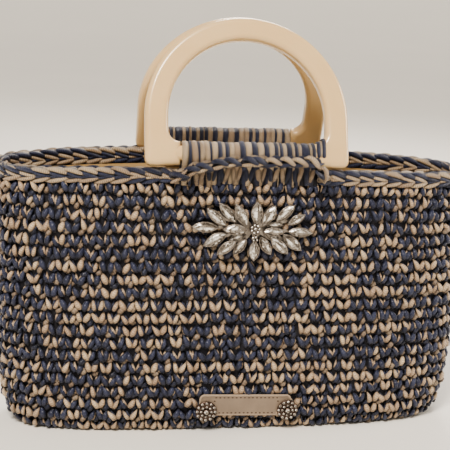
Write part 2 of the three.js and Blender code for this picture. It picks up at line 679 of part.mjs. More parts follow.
// The tag lies flat against the wall just above the base, and a rosette is fixed over each end
function addTag() {
  const low = TAG_Z - TAG_HEIGHT / 2;
  const high = TAG_Z + TAG_HEIGHT / 2;
  const lowY = depthAt(TAG_X, low);
  const highY = depthAt(TAG_X, high);
  const slope = Math.atan2(highY - lowY, TAG_HEIGHT);
  const bulge = Math.max(0, ...[0.25, 0.5, 0.75].map((share) => {
    const z = THREE.MathUtils.lerp(low, high, share);
    return depthAt(TAG_X, z) - THREE.MathUtils.lerp(lowY, highY, share);
  }));
  const tag = new THREE.Group();
  tag.position.set(TAG_X, -(lowY + highY) / 2 - bulge - GAP, TAG_Z);
  tag.rotation.x = Math.PI / 2 + slope;
  const turned = new THREE.Group();
  turned.rotation.z = -TAG_ROLL;
  tag.add(turned);
  addPiece('tag', roundedSlab(tagOutline, TAG_THICKNESS, TAG_EDGE_ROUND, 1), 'tag', turned);
  for (const place of TAG_ROSETTES) {
    const rosette = addPiece(place.name, rosetteGeometry(), 'gunmetal', turned);
    rosette.position.set(place.right * TAG_WIDTH, place.up * TAG_HEIGHT, TAG_THICKNESS + GAP);
  }
  bag.add(tag);
}

addPiece('crochet_body', crochetBody(), 'crochet');
addPiece('mouth_edging', mouthEdging(), 'edging');
addPiece('lining', liningPouch(), 'lining');
addHandles();
addBrooch();
addTag();

export default bag;
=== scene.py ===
import json
import math
import random

import bmesh
import bpy
from mathutils import Matrix, Vector, noise


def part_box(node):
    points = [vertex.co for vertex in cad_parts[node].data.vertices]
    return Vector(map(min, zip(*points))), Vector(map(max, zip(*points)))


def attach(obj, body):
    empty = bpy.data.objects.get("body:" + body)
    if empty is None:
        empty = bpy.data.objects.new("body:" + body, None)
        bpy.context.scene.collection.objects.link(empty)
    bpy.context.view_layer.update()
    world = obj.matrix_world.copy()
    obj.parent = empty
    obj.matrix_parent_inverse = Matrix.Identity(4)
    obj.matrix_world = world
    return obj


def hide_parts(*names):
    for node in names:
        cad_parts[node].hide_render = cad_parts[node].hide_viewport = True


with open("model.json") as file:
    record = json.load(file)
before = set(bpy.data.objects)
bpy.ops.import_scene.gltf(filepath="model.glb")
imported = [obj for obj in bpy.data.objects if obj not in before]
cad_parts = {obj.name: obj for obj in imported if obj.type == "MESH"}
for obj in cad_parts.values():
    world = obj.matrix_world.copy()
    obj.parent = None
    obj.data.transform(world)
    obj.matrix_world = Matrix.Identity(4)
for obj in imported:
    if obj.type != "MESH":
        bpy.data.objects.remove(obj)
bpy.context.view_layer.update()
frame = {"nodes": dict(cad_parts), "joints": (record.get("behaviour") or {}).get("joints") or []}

# Camera
# It stands in front of the bag, a little to its left and just above the mouth. The lens is long, and
# the bag's front fills the picture from side to side.
CAMERA_TURN = math.radians(-9.89)
CAMERA_RISE = math.radians(13.15)
CAMERA_ROLL = math.radians(2.65)
CAMERA_DISTANCE = 0.7487
CAMERA_AIM = Vector((-0.0143, -0.040, 0.16215))
CAMERA_SENSOR = 36.0
CAMERA_LENS = 81.44
CAMERA_NEAR = 0.01
CAMERA_FAR = 50
QUARTER_TURN = math.pi / 2


def linked(name, data):
    """A new object in the scene."""
    made = bpy.data.objects.new(name, data)
    bpy.context.scene.collection.objects.link(made)
    return made


camera_data = bpy.data.cameras.new("camera")
camera_data.sensor_width = CAMERA_SENSOR
camera_data.lens = CAMERA_LENS
camera_data.clip_start = CAMERA_NEAR
camera_data.clip_end = CAMERA_FAR
camera = linked("camera", camera_data)
camera.matrix_world = (
    Matrix.Translation(CAMERA_AIM) @ Matrix.Rotation(CAMERA_TURN, 4, "Z")
    @ Matrix.Rotation(QUARTER_TURN - CAMERA_RISE, 4, "X") @ Matrix.Rotation(CAMERA_ROLL, 4, "Z")
    @ Matrix.Translation((0, 0, CAMERA_DISTANCE)))
bpy.context.scene.camera = camera


# Studio
# A pale matt floor that curves up far away on all sides, soft light from high at the front left that
# reaches all of it, a broad lamp on the same side, weaker ones at the right and behind, a pale surround.
FLOOR_RINGS = [(4.0, 0.0), (5.0, 0.08), (6.0, 0.35), (7.0, 0.95), (8.0, 2.0), (8.6, 3.4)]
FLOOR_SIDES = 96
FLOOR_COLOUR = (0.90, 0.87, 0.81, 1)
FLOOR_COLOUR_LOW = (0.864, 0.8352, 0.7776, 1)
SURROUND_COLOUR = (1.0, 0.95, 0.89, 1)
SURROUND_STRENGTH = 0.36
DAYLIGHT_STRENGTH = 1.7
DAYLIGHT_SPREAD = math.radians(22)
KEY_LAMP_PLACE = (-0.55, -1.0, 1.6)
KEY_LAMP_COLOUR = (1.0, 0.93, 0.84)
LAMPS = [
    {"name": "key_lamp", "place": KEY_LAMP_PLACE, "size": 0.5, "power": 22, "colour": KEY_LAMP_COLOUR},
    {"name": "fill_lamp", "place": (1.6, 0.1, 0.75), "size": 0.7, "power": 13, "colour": (1.0, 0.93, 0.86)},
    {"name": "rim_lamp", "place": (0.35, 1.2, 1.2), "size": 0.8, "power": 14, "colour": (1.0, 0.95, 0.9)},
]
LAMP_AIM = Vector((0, 0, 0.13))


def add_node(tree, kind, inputs=None, **settings):
    """A node with its settings, its inputs set to values or linked to other nodes' outputs."""
    made = tree.nodes.new(kind)
    for key, value in settings.items():
        setattr(made, key, value)
    for key, value in (inputs or {}).items():
        if isinstance(value, bpy.types.NodeSocket):
            tree.links.new(value, made.inputs[key])
        else:
            made.inputs[key].default_value = value
    return made


def new_material(name, values):
    """A material, its tree and its surface shader, which has the given values."""
    material = bpy.data.materials.new(name)
    material.use_nodes = True
    tree = material.node_tree
    tree.nodes.clear()
    surface = add_node(tree, "ShaderNodeBsdfPrincipled", values)
    add_node(tree, "ShaderNodeOutputMaterial", {"Surface": surface.outputs[0]})
    return material, tree, surface


def textured(tree, kind, inputs, read="Object", **settings):
    """A texture node that reads the object's own coordinates, or its UV map."""
    place = add_node(tree, "ShaderNodeTexCoord").outputs[read]
    return add_node(tree, "ShaderNodeTex" + kind, {"Vector": place, **inputs}, **settings)


def mixed(tree, share, first, second, how="MIX"):
    """Output of a colour mix."""
    made = add_node(tree, "ShaderNodeMix", {0: share, 6: first, 7: second}, data_type="RGBA", blend_type=how)
    return made.outputs[2]


def reckoned(tree, operation, *values):
    """Output of a sum on numbers."""
    return add_node(tree, "ShaderNodeMath", dict(enumerate(values)), operation=operation).outputs[0]


def held_in(tree, value):
    """Output of a number kept from 0 to 1."""
    return add_node(tree, "ShaderNodeClamp", {0: value}).outputs[0]


def covered(tree, surface, colour, height=None, strength=1.0, distance=0.0):
    """Gives a surface shader its colour and, from a height, its fine relief."""
    tree.links.new(colour, surface.inputs["Base Color"])
    if height is not None:
        bump = add_node(
            tree, "ShaderNodeBump", {"Height": height, "Strength": strength, "Distance": distance})
        tree.links.new(bump.outputs[0], surface.inputs["Normal"])


def mesh_of(name, points, faces=(), smooth=False):
    """A mesh of points and faces."""
    data = bpy.data.meshes.new(name)
    data.from_pydata(points, [], faces, shade_flat=not smooth)
    return data


def band_faces(rings, count, first=0, inward=False):
    """Faces of four corners between rings whose points lie one after the other."""
    faces = []
    for low in range(first, first + (rings - 1) * count, count):
        for side in range(count):
            after = (side + 1) % count
            near, next_near, next_far, far = low + side, low + after, low + count + after, low + count + side
            faces.append((near, far, next_far, next_near) if inward else (near, next_near, next_far, far))
    return faces


def round_steps(count):
    """Even angles round a circle."""
    return [2 * math.pi * step / count for step in range(count)]


floor_material, tree, surface = new_material("matt_floor", {"Roughness": 0.8})
patches = textured(tree, "Noise", {"Scale": 3.0}).outputs[0]
covered(tree, surface, mixed(tree, patches, FLOOR_COLOUR, FLOOR_COLOUR_LOW))
floor_points = [(reach * math.cos(turn), reach * math.sin(turn), height)
                for reach, height in FLOOR_RINGS for turn in round_steps(FLOOR_SIDES)]
floor_faces = band_faces(len(FLOOR_RINGS), FLOOR_SIDES, inward=True)
floor_data = mesh_of("floor", floor_points, [tuple(range(FLOOR_SIDES)), *floor_faces], smooth=True)
floor_data.materials.append(floor_material)
floor = linked("floor", floor_data)

world = bpy.data.worlds.new("studio")
world.use_nodes = True
surround = world.node_tree.nodes["Background"].inputs
surround["Color"].default_value = SURROUND_COLOUR
surround["Strength"].default_value = SURROUND_STRENGTH
bpy.context.scene.world = world
bpy.context.scene.view_settings.look = "AgX - Medium High Contrast"

for lamp in LAMPS:
    lamp_data = bpy.data.lights.new(lamp["name"], "AREA")
    lamp_data.shape = "DISK"
    lamp_data.size = lamp["size"]
    lamp_data.energy = lamp["power"]
    lamp_data.color = lamp["colour"]
    lamp_object = linked(lamp["name"], lamp_data)
    lamp_object.location = lamp["place"]
    lamp_object.rotation_euler = (LAMP_AIM - Vector(lamp["place"])).to_track_quat("-Z", "Y").to_euler()

daylight_data = bpy.data.lights.new("daylight", "SUN")
daylight_data.energy = DAYLIGHT_STRENGTH
daylight_data.angle = DAYLIGHT_SPREAD
daylight_data.color = KEY_LAMP_COLOUR
daylight = linked("daylight", daylight_data)
daylight.rotation_euler = (-Vector(KEY_LAMP_PLACE)).to_track_quat("-Z", "Y").to_euler()


# Crochet body, its form
# The body is worked in the round from a flat oval base. Its plan is a long rounded oval that widens
# quickly above the base and then stands almost straight, and its mouth sags a little at both ends.
BAG_HEIGHT = 0.2034
EDGING_HEIGHT = 0.010
WALL = 0.006
PIECE_GAP = 0.0003
BASE_POWER = 3.4
MOUTH_POWER = 2.8
MOUTH_LIFT = 0.0022
MOUTH_SAG = 0.0025
# Rows of height, half width and half depth, as shares of the bag's
WALL_SECTIONS = [
    (0.0, 0.87, 0.79), (0.018, 0.922, 0.875), (0.055, 0.96, 0.93), (0.13, 0.985, 0.955),
    (0.3, 1.0, 0.985), (0.55, 1.003, 1.01), (0.78, 1.0, 1.01), (1.0, 0.998, 1.0),
]
body_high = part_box("crochet_body")[1]
HALF_WIDTH = body_high.x / max(width for _, width, _ in WALL_SECTIONS)
HALF_DEPTH = body_high.y / max(depth for _, _, depth in WALL_SECTIONS)
BODY_TOP = BAG_HEIGHT - EDGING_HEIGHT - PIECE_GAP
OUTLINE_STEPS = 720


def blend_of(first, second, share):
    return first + (second - first) * share


def mouth_rise(x):
    return MOUTH_LIFT - (MOUTH_LIFT + MOUTH_SAG) * (x / HALF_WIDTH) ** 2


def wall_at(z):
    """Half width, half depth and corner power of the outer wall at a height."""
    share = min(max(z / BAG_HEIGHT, 0), 1)
    row = 1
    while WALL_SECTIONS[row][0] < share:
        row += 1
    low, high = WALL_SECTIONS[row - 1], WALL_SECTIONS[row]
    part = (share - low[0]) / (high[0] - low[0])
    return (HALF_WIDTH * blend_of(low[1], high[1], part), HALF_DEPTH * blend_of(low[2], high[2], part),
            blend_of(BASE_POWER, MOUTH_POWER, share))


def oval_at(z, inset=0.0):
    """Fine plan outline of the wall at a height, counter-clockwise from above, and its length so far."""
    half_width, half_depth, power = wall_at(z)
    points = []
    for step in range(OUTLINE_STEPS + 1):
        turn = 2 * math.pi * step / OUTLINE_STEPS
        across, deep = math.cos(turn), math.sin(turn)
        points.append(Vector((
            (half_width - inset) * math.copysign(abs(across) ** (2 / power), across),
            (half_depth - inset) * math.copysign(abs(deep) ** (2 / power), deep),
            0,
        )))
    lengths = [0.0]
    for before, after in zip(points, points[1:]):
        lengths.append(lengths[-1] + (after - before).length)
    return points, lengths


def even_shares(count, offset=0):
    return [(index + offset) / count for index in range(count)]


def on_oval(oval, shares):
    """Points and unit tangents at rising shares of the way round an oval."""
    points, lengths = oval
    found = []
    step = 1
    for share in shares:
        goal = lengths[-1] * share
        while lengths[step] < goal and step < OUTLINE_STEPS:
            step += 1
        part = (goal - lengths[step - 1]) / (lengths[step] - lengths[step - 1])
        ahead, behind = points[(step + 2) % OUTLINE_STEPS], points[(step - 3) % OUTLINE_STEPS]
        found.append((points[step - 1].lerp(points[step], part), (ahead - behind).normalized()))
    return found


# Crochet body, its dark inside
# Under the loops that show lies the rest of the fabric, in shade, and its near-black colour is painted
# shade. It is one closed hollow wall, a little inside the loops, and carries them.
CORE_DEPTH = 0.0030
CORE_SIDES = 144
CORE_FLOOR_LIFT = 0.0022
CORE_FLOOR_INSET = 1.5 * WALL
CORE_LEVELS = [0.0, 0.02, 0.055, 0.13, 0.22, 0.32, 0.42, 0.55, 0.66, 0.78, 0.88]
CORE_SHADE_DARK = (0.006, 0.007, 0.013, 1)
CORE_SHADE_PALE = (0.030, 0.027, 0.032, 1)


def wall_ring(z, inset, rises=False):
    ring = [point.copy() for point, _ in on_oval(oval_at(z, inset), even_shares(CORE_SIDES))]
    for point in ring:
        point.z = z + (mouth_rise(point.x) if rises else 0)
    return ring


def lofted(name, rings, looped=False):
    """A skin through rings of equal point counts, each counter-clockwise from above, the first lowest
    outside. Its ends are closed by a face each, or meet if it is looped."""
    count = len(rings[0])
    points = [point for ring in rings for point in ring]
    faces = band_faces(len(rings), count)
    last = len(points) - count
    if looped:
        faces += [(last + side, last + (side + 1) % count, (side + 1) % count, side)
                  for side in range(count)]
    else:
        faces += [tuple(reversed(range(count))), tuple(range(last, len(points)))]
    return linked(name, mesh_of(name, points, faces, smooth=True))


def grained_material(name, dark, pale, scale, strength, distance, values):
    """A material whose colour and relief follow one fine noise."""
    material, tree, surface = new_material(name, values)
    grain = textured(tree, "Noise", {"Scale": scale, "Detail": 3.0}).outputs[0]
    covered(tree, surface, mixed(tree, grain, dark, pale), grain, strength, distance)
    return material


crochet_core = lofted("crochet_core", [
    *(wall_ring(max(level * BAG_HEIGHT, CORE_FLOOR_LIFT), CORE_DEPTH) for level in CORE_LEVELS),
    wall_ring(BODY_TOP, CORE_DEPTH, rises=True),
    wall_ring(BODY_TOP, WALL, rises=True),
    *(wall_ring(level * BAG_HEIGHT, WALL) for level in reversed(CORE_LEVELS) if level * BAG_HEIGHT > WALL),
    wall_ring(WALL, CORE_FLOOR_INSET),
])
shade_core_material = grained_material(
    "yarn_in_shade", CORE_SHADE_DARK, CORE_SHADE_PALE, 320.0, 0.6, 0.001, {"Roughness": 0.9})
crochet_core.data.materials.append(shade_core_material)
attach(crochet_core, "bag")
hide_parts("crochet_body")


# Crochet body, its stitches
# Two satin tapes, navy and beige, are worked together in rounds of single crochet. Each stitch shows
# two fat legs in a V and the bump of the loop below it, and either tape may lie on top.
NAVY = (0.012, 0.016, 0.048, 1)
NAVY_WORN = (0.056, 0.066, 0.130, 1)
BEIGE = (0.430, 0.290, 0.195, 1)
BEIGE_PALE = (0.790, 0.615, 0.415, 1)
# YARN_SHADE is the painted shade that the tape's colour is darkened towards
YARN_SHADE = (0.11, 0.11, 0.14, 1)
RIB_PITCH_MM = 1.3
RIB_SLANT = 2.2
RIB_DEPTH = 0.0006
# How much painted shade darkens the sides of each strand
EDGE_SHADE = 0.6
# Painted shade towards the bottom of a stitch's strands: it starts FADE_BELOW mm above the stitch's middle,
# is full FADE_SPAN mm lower and darkens at most by FADE_SHARE
FADE_BELOW = 1.0
FADE_SPAN = 5.0
FADE_SHARE = 0.75
STITCH_ROWS = 20
STITCHES_PER_ROUND = 74
ROW_SHIFT = -0.13
PROFILE_STEPS = 400
UP_SPAN = 0.002
BEIGE_SHARE_LOW = 0.46
BEIGE_SHARE_HIGH = 0.36
WALL_KEEP = 0.45
BASE_KEEP = 0.62
LOW_LOOP_FLIPS = 0.55
LEFT_LEG_KEEPS = 0.86
RIGHT_LEG_KEEPS = 0.80
LOOP_SWELL = (0.88, 1.16)
LOOP_SHIFT = 0.6
LOOP_SHIFT_OUT = 0.3
LOOP_LOOSENESS = 0.20
LOOP_SEED = 4
NATURAL_ROW_PITCH = 0.0094
NATURAL_STITCH_PITCH = 0.0112
BASE_ROUNDS = [0.0047, 0.0141, 0.0235, 0.0329]
BASE_OFFSET = 0.3
BASE_LIFT = 0.0022
BASE_FLATNESS = 0.8
BANDS = {"stitches_low": (0, 7), "stitches_middle": (7, 14), "stitches_high": (14, STITCH_ROWS),
         "stitches_base": (STITCH_ROWS, STITCH_ROWS + 1)}
MM = 0.001

# Each strand is a path in mm from the stitch's middle: right, up and out from the wall's surface, then
# half its width there. The first strand of a shape lies over the second, which has the other colour.
STITCH_LEGS = {
    "leg_left_full": [
        [(-4.6, 4.8, -2.9, 0.5), (-3.9, 3.3, -1.1, 1.7), (-2.8, 1.1, -0.4, 2.4), (-1.8, -1.3, -0.9, 2.2),
         (-1.0, -3.8, -3.4, 1.1)],
        [(-5.9, 3.6, -3.6, 0.5), (-5.2, 1.3, -1.6, 1.1), (-4.1, -1.2, -1.4, 1.3), (-2.8, -3.6, -3.8, 0.7)],
    ],
    "leg_left_horn": [
        [(-5.3, 5.5, -2.6, 0.3), (-4.3, 3.6, -1.0, 1.2), (-3.0, 1.4, -0.4, 2.0), (-1.6, -1.0, -0.8, 2.5),
         (-0.5, -3.6, -3.4, 1.5)],
        [(-2.7, 4.8, -2.8, 0.5), (-1.8, 2.4, -1.0, 1.0), (-0.7, 0.0, -1.0, 1.1), (0.3, -3.0, -3.6, 0.6)],
    ],
    "leg_left_slim": [
        [(-4.7, 4.4, -3.2, 0.4), (-3.9, 2.9, -1.4, 1.3), (-2.9, 0.8, -0.6, 1.9), (-1.8, -1.6, -0.8, 2.0),
         (-0.8, -3.8, -3.4, 1.1)],
        [(-2.4, 4.6, -2.8, 0.5), (-1.6, 2.1, -0.8, 1.1), (-0.7, -0.4, -0.9, 1.2), (0.2, -3.0, -3.6, 0.7)],
    ],
    "leg_right_full": [
        [(4.2, 4.8, -2.8, 0.5), (3.6, 3.1, -1.0, 1.8), (2.8, 0.9, -0.3, 2.4), (1.9, -1.4, -0.8, 2.1),
         (1.0, -3.7, -3.4, 1.1)],
        [(5.6, 3.0, -3.6, 0.5), (5.3, 0.7, -1.6, 1.1), (4.3, -1.9, -1.6, 1.2), (3.0, -3.8, -3.8, 0.6)],
    ],
    "leg_right_horn": [
        [(5.0, 5.5, -2.6, 0.3), (4.2, 3.5, -1.0, 1.3), (3.1, 1.2, -0.4, 2.1), (1.8, -1.2, -0.8, 2.4),
         (0.6, -3.6, -3.4, 1.5)],
        [(2.2, 4.6, -2.8, 0.5), (1.7, 2.2, -1.0, 1.0), (1.1, -0.3, -1.0, 1.0), (0.4, -3.2, -3.6, 0.6)],
    ],
    "leg_right_slim": [
        [(4.5, 4.4, -3.2, 0.4), (3.9, 2.6, -1.4, 1.4), (3.1, 0.6, -0.5, 1.9), (2.1, -1.6, -0.9, 1.9),
         (1.1, -3.8, -3.4, 1.0)],
        [(1.9, 4.4, -2.8, 0.5), (1.4, 1.9, -0.9, 1.0), (1.0, -0.7, -1.0, 1.1), (0.4, -3.2, -3.6, 0.6)],
    ],
    "loop_low_round": [
        [(3.7, -5.2, -3.4, 1.0), (4.7, -4.0, -1.3, 2.0), (5.8, -2.3, -1.2, 2.1), (6.7, -0.3, -3.8, 1.0)],
        [(2.6, -4.9, -3.6, 0.4), (3.3, -3.6, -2.0, 0.9), (3.9, -1.6, -3.6, 0.4)],
    ],
    "loop_low_flat": [
        [(2.9, -4.4, -3.7, 0.9), (4.4, -4.0, -1.4, 1.9), (6.1, -3.0, -1.4, 1.9), (7.6, -1.6, -3.9, 0.9)],
        [(4.3, -5.9, -3.8, 0.5), (5.8, -5.4, -2.2, 1.0), (7.2, -4.4, -3.8, 0.5)],
    ],
}


def tape_material(name, relief, wear):
    """Satin tape yarn. Its colour comes from the loop's tone, paler with more wear, and painted shade darkens
    it at the strand's sides and where the strand is marked deep. Its ribs, which run across the strand, are
    as deep as the relief, with painted shade in their grooves as dark as it."""
    material, tree, surface = new_material(name, {
        "Roughness": 0.38, "Sheen Weight": 0.15, "Sheen Roughness": 0.4})

    def read(attribute):
        return add_node(tree, "ShaderNodeAttribute", attribute_name=attribute).outputs["Fac"]

    def shaded(colour, share):
        return mixed(tree, share, colour, mixed(tree, 1.0, colour, YARN_SHADE, "MULTIPLY"))

    blotch = textured(tree, "Noise", {"Scale": 95.0, "Detail": 2.0}).outputs[0]
    flipped = reckoned(tree, "ABSOLUTE", reckoned(tree, "SUBTRACT", read("tone"), read("under")))
    worn = reckoned(tree, "MULTIPLY_ADD", read("shade"), 0.5, 0.25)
    worn = held_in(tree, reckoned(tree, "MULTIPLY", worn, reckoned(tree, "MULTIPLY", blotch, wear)))
    colour = mixed(
        tree, flipped, mixed(tree, worn, NAVY, NAVY_WORN), mixed(tree, worn, BEIGE, BEIGE_PALE))
    # Painted shade: darker at the strand's sides and where it is marked deep
    edge_share = reckoned(tree, "MULTIPLY", reckoned(tree, "POWER", read("around"), 3.0), EDGE_SHADE)
    colour = shaded(shaded(colour, edge_share), read("deep"))
    slant = reckoned(tree, "MULTIPLY", read("around"), RIB_SLANT)
    phase = reckoned(tree, "MULTIPLY_ADD", read("along"), 1 / RIB_PITCH_MM, slant)
    rib = reckoned(tree, "SINE", reckoned(tree, "MULTIPLY", phase, 2 * math.pi))
    groove = reckoned(tree, "MULTIPLY_ADD", rib, 0.5, 0.5)
    fibres = textured(tree, "Noise", {"Scale": 1400.0, "Detail": 2.0}).outputs[0]
    height = reckoned(tree, "SUBTRACT", reckoned(tree, "MULTIPLY", fibres, 0.5), groove)
    # Painted shade in the grooves between the ribs
    colour = shaded(colour, reckoned(tree, "MULTIPLY", groove, relief))
    covered(tree, surface, colour, height, relief, RIB_DEPTH)
    return material


def smooth_path(path, steps):
    """Points on a smooth curve through a path whose rows end with a half width."""
    ends = [path[0], *path, path[-1]]
    found = []
    for index in range(1, len(ends) - 2):
        before, here, after, beyond = (Vector(ends[index + shift]) for shift in (-1, 0, 1, 2))
        for step in range(steps):
            t = step / steps
            found.append(0.5 * (
                2 * here + (after - before) * t
                + (2 * before - 5 * here + 4 * after - beyond) * t ** 2
                + (3 * here - before - 3 * after + beyond) * t ** 3))
    found.append(Vector(path[-1]))
    return found


def strand_shape(name, strands, sides=6, flatness=0.82, steps=1, deep_below=-0.7, deep_span=2.6, across=None,
                 fades=False):
    """One object of closed swept strands. Each row of a strand's path is a place and a half width."""
    points, faces, along, around, under, deep = [], [], [], [], [], []
    for order, strand in enumerate(strands):
        path = smooth_path(strand, steps)
        reached = 0.0
        first = len(points)
        for index, row in enumerate(path):
            before = path[max(index - 1, 0)].xyz
            after = path[min(index + 1, len(path) - 1)].xyz
            ahead = (after - before).normalized()
            side = Vector(across) if across else ahead.cross(Vector((0, 0, 1)))
            side = (side - side.dot(ahead) * ahead).normalized()
            top = side.cross(ahead)
            if index:
                reached += (row.xyz - path[index - 1].xyz).length
            # Painted shade in 'deep': darker where the strand sinks below deep_below mm, full deep_span mm
            # lower, and, for shapes that fade, towards the bottom
            sunk = min(max((deep_below - row.z) / deep_span, 0.0), 1.0)
            low_down = min(max((FADE_BELOW - row.y) / FADE_SPAN, 0.0), 1.0) if fades else 0.0
            for turn in round_steps(sides):
                points.append(MM * (
                    row.xyz + row.w * (math.cos(turn) * side + flatness * math.sin(turn) * top)))
                along.append(reached)
                around.append(abs(math.cos(turn)))
                under.append(order)
                deep.append(max(sunk, FADE_SHARE * low_down))
        faces += band_faces(len(path), sides, first, inward=True)
        faces.append(tuple(range(first, first + sides)))
        faces.append(tuple(reversed(range(len(points) - sides, len(points)))))
    data = mesh_of(name, points, faces, smooth=True)
    for key, values in (("along", along), ("around", around), ("under", under), ("deep", deep)):
        data.attributes.new(key, "FLOAT", "POINT").data.foreach_set("value", values)
    return bpy.data.objects.new(name, data)


def shape_shelf(name, shapes):
    """A collection outside the scene that holds the shapes in the order of their names."""
    shelf = bpy.data.collections.new(name)
    for shape in shapes:
        shelf.objects.link(shape)
    return shelf


def loops_tree():
    """Sets one of the shelf's shapes on each point, turned and sized by the point's attributes."""
    tree = bpy.data.node_groups.new("shapes_on_points", "GeometryNodeTree")
    for label, kind in (("Points", "Geometry"), ("Shapes", "Collection"), ("Looseness", "Float"),
                        ("Seed", "Int"), ("Material", "Material")):
        tree.interface.new_socket(label, in_out="INPUT", socket_type="NodeSocket" + kind)
    tree.interface.new_socket("Loops", in_out="OUTPUT", socket_type="NodeSocketGeometry")
    given = add_node(tree, "NodeGroupInput").outputs

    def stored(name, kind="FLOAT_VECTOR"):
        return add_node(tree, "GeometryNodeInputNamedAttribute", {"Name": name}, data_type=kind).outputs[0]

    def rotation(angles):
        return add_node(tree, "FunctionNodeEulerToRotation", {0: angles}).outputs[0]

    shelf = add_node(tree, "GeometryNodeCollectionInfo", {
        "Collection": given["Shapes"], "Separate Children": True, "Reset Children": True})
    wobble = add_node(
        tree, "FunctionNodeRandomValue", {0: (-1, -1, -1), 1: (1, 1, 1), "Seed": given["Seed"]},
        data_type="FLOAT_VECTOR")
    tilt = add_node(
        tree, "ShaderNodeVectorMath", {0: wobble.outputs[0], "Scale": given["Looseness"]}, operation="SCALE")
    turned = add_node(tree, "FunctionNodeRotateRotation", {
        "Rotation": rotation(stored("facing")), "Rotate By": rotation(tilt.outputs[0]),
    }, rotation_space="LOCAL")
    placed = add_node(tree, "GeometryNodeInstanceOnPoints", {
        "Points": given["Points"], "Instance": shelf.outputs[0], "Pick Instance": True,
        "Instance Index": stored("pick", "INT"), "Rotation": turned.outputs[0], "Scale": stored("stretch")})
    real = add_node(tree, "GeometryNodeRealizeInstances", {"Geometry": placed.outputs[0]})
    dressed = add_node(
        tree, "GeometryNodeSetMaterial", {"Geometry": real.outputs[0], "Material": given["Material"]})
    add_node(tree, "NodeGroupOutput", {0: dressed.outputs[0]})
    return tree


def loop_at(at, facing, stretch, pick=0, tone=0.0, shade=0.0):
    """A point that one shape is set on: place, turn, sizes, which shape, the yarn's tone and its wear."""
    return {"at": at, "facing": facing, "stretch": stretch, "pick": pick, "tone": tone, "shade": shade}


def grown(name, loops, shapes, looseness, seed, material):
    """The plain mesh object that the tree makes from the loops' points, which go."""
    points = mesh_of(name + "_points", [loop["at"] for loop in loops])
    for key in ("facing", "stretch"):
        values = [number for loop in loops for number in loop[key]]
        points.attributes.new(key, "FLOAT_VECTOR", "POINT").data.foreach_set("vector", values)
    for key, kind in (("pick", "INT"), ("tone", "FLOAT"), ("shade", "FLOAT")):
        points.attributes.new(key, kind, "POINT").data.foreach_set("value", [loop[key] for loop in loops])
    source = linked(name + "_points", points)
    modifier = source.modifiers.new("grow", "NODES")
    modifier.node_group = loops_on_points
    inputs = {"Shapes": shapes, "Looseness": looseness, "Seed": seed, "Material": material}
    for socket in loops_on_points.interface.items_tree:
        if socket.in_out == "INPUT" and socket.name in inputs:
            modifier[socket.identifier] = inputs[socket.name]
    bpy.context.view_layer.update()
    evaluated = source.evaluated_get(bpy.context.evaluated_depsgraph_get())
    data = bpy.data.meshes.new_from_object(evaluated)
    data.name = name
    source.modifiers.remove(modifier)
    bpy.data.objects.remove(source)
    return linked(name, data)


def tone_runs(count, chance, keep):
    """Tones along a strand, 0 for navy and 1 for beige, that stay the same for short runs."""
    tones = [float(stitch_random.random() < chance)]
    while len(tones) < count:
        again = stitch_random.random() < keep
        tones.append(tones[-1] if again else float(stitch_random.random() < chance))
    return tones


def facing_of(right, up, out):
    return Matrix((right, up, out)).transposed().to_euler()


stitch_random = random.Random(21)
leg_names = sorted(STITCH_LEGS)
stitch_shelf = shape_shelf("stitch_shapes", [
    strand_shape(name, STITCH_LEGS[name], fades=True) for name in leg_names])
tape = tape_material("satin_tape", 0.4, 2.0)
ribbed_tape = tape_material("ribbed_satin_tape", 0.8, 3.0)
loops_on_points = loops_tree()


def stitch_loops(at, right, up, out, tone, size):
    """The three loops of one stitch: left leg, right leg and the low loop between stitches."""
    low_tone = 1 - tone if stitch_random.random() < LOW_LOOP_FLIPS else tone
    left_tone = tone if stitch_random.random() < LEFT_LEG_KEEPS else 1 - tone
    right_tone = tone if stitch_random.random() < RIGHT_LEG_KEEPS else 1 - tone
    loops = []
    for key, loop_tone in (("leg_left", left_tone), ("leg_right", right_tone), ("loop_low", low_tone)):
        choices = [index for index, name in enumerate(leg_names) if name.startswith(key)]
        swell = stitch_random.uniform(*LOOP_SWELL)
        place = at + right * stitch_random.uniform(-LOOP_SHIFT, LOOP_SHIFT) * MM
        place += up * stitch_random.uniform(-LOOP_SHIFT, LOOP_SHIFT) * MM
        place += out * stitch_random.uniform(-LOOP_SHIFT, LOOP_SHIFT_OUT) * MM
        loops.append(loop_at(
            place, facing_of(right, up, out), (size[0] * swell, size[1], size[2] * swell),
            choices[stitch_random.randrange(len(choices))], loop_tone, stitch_random.random()))
    return loops


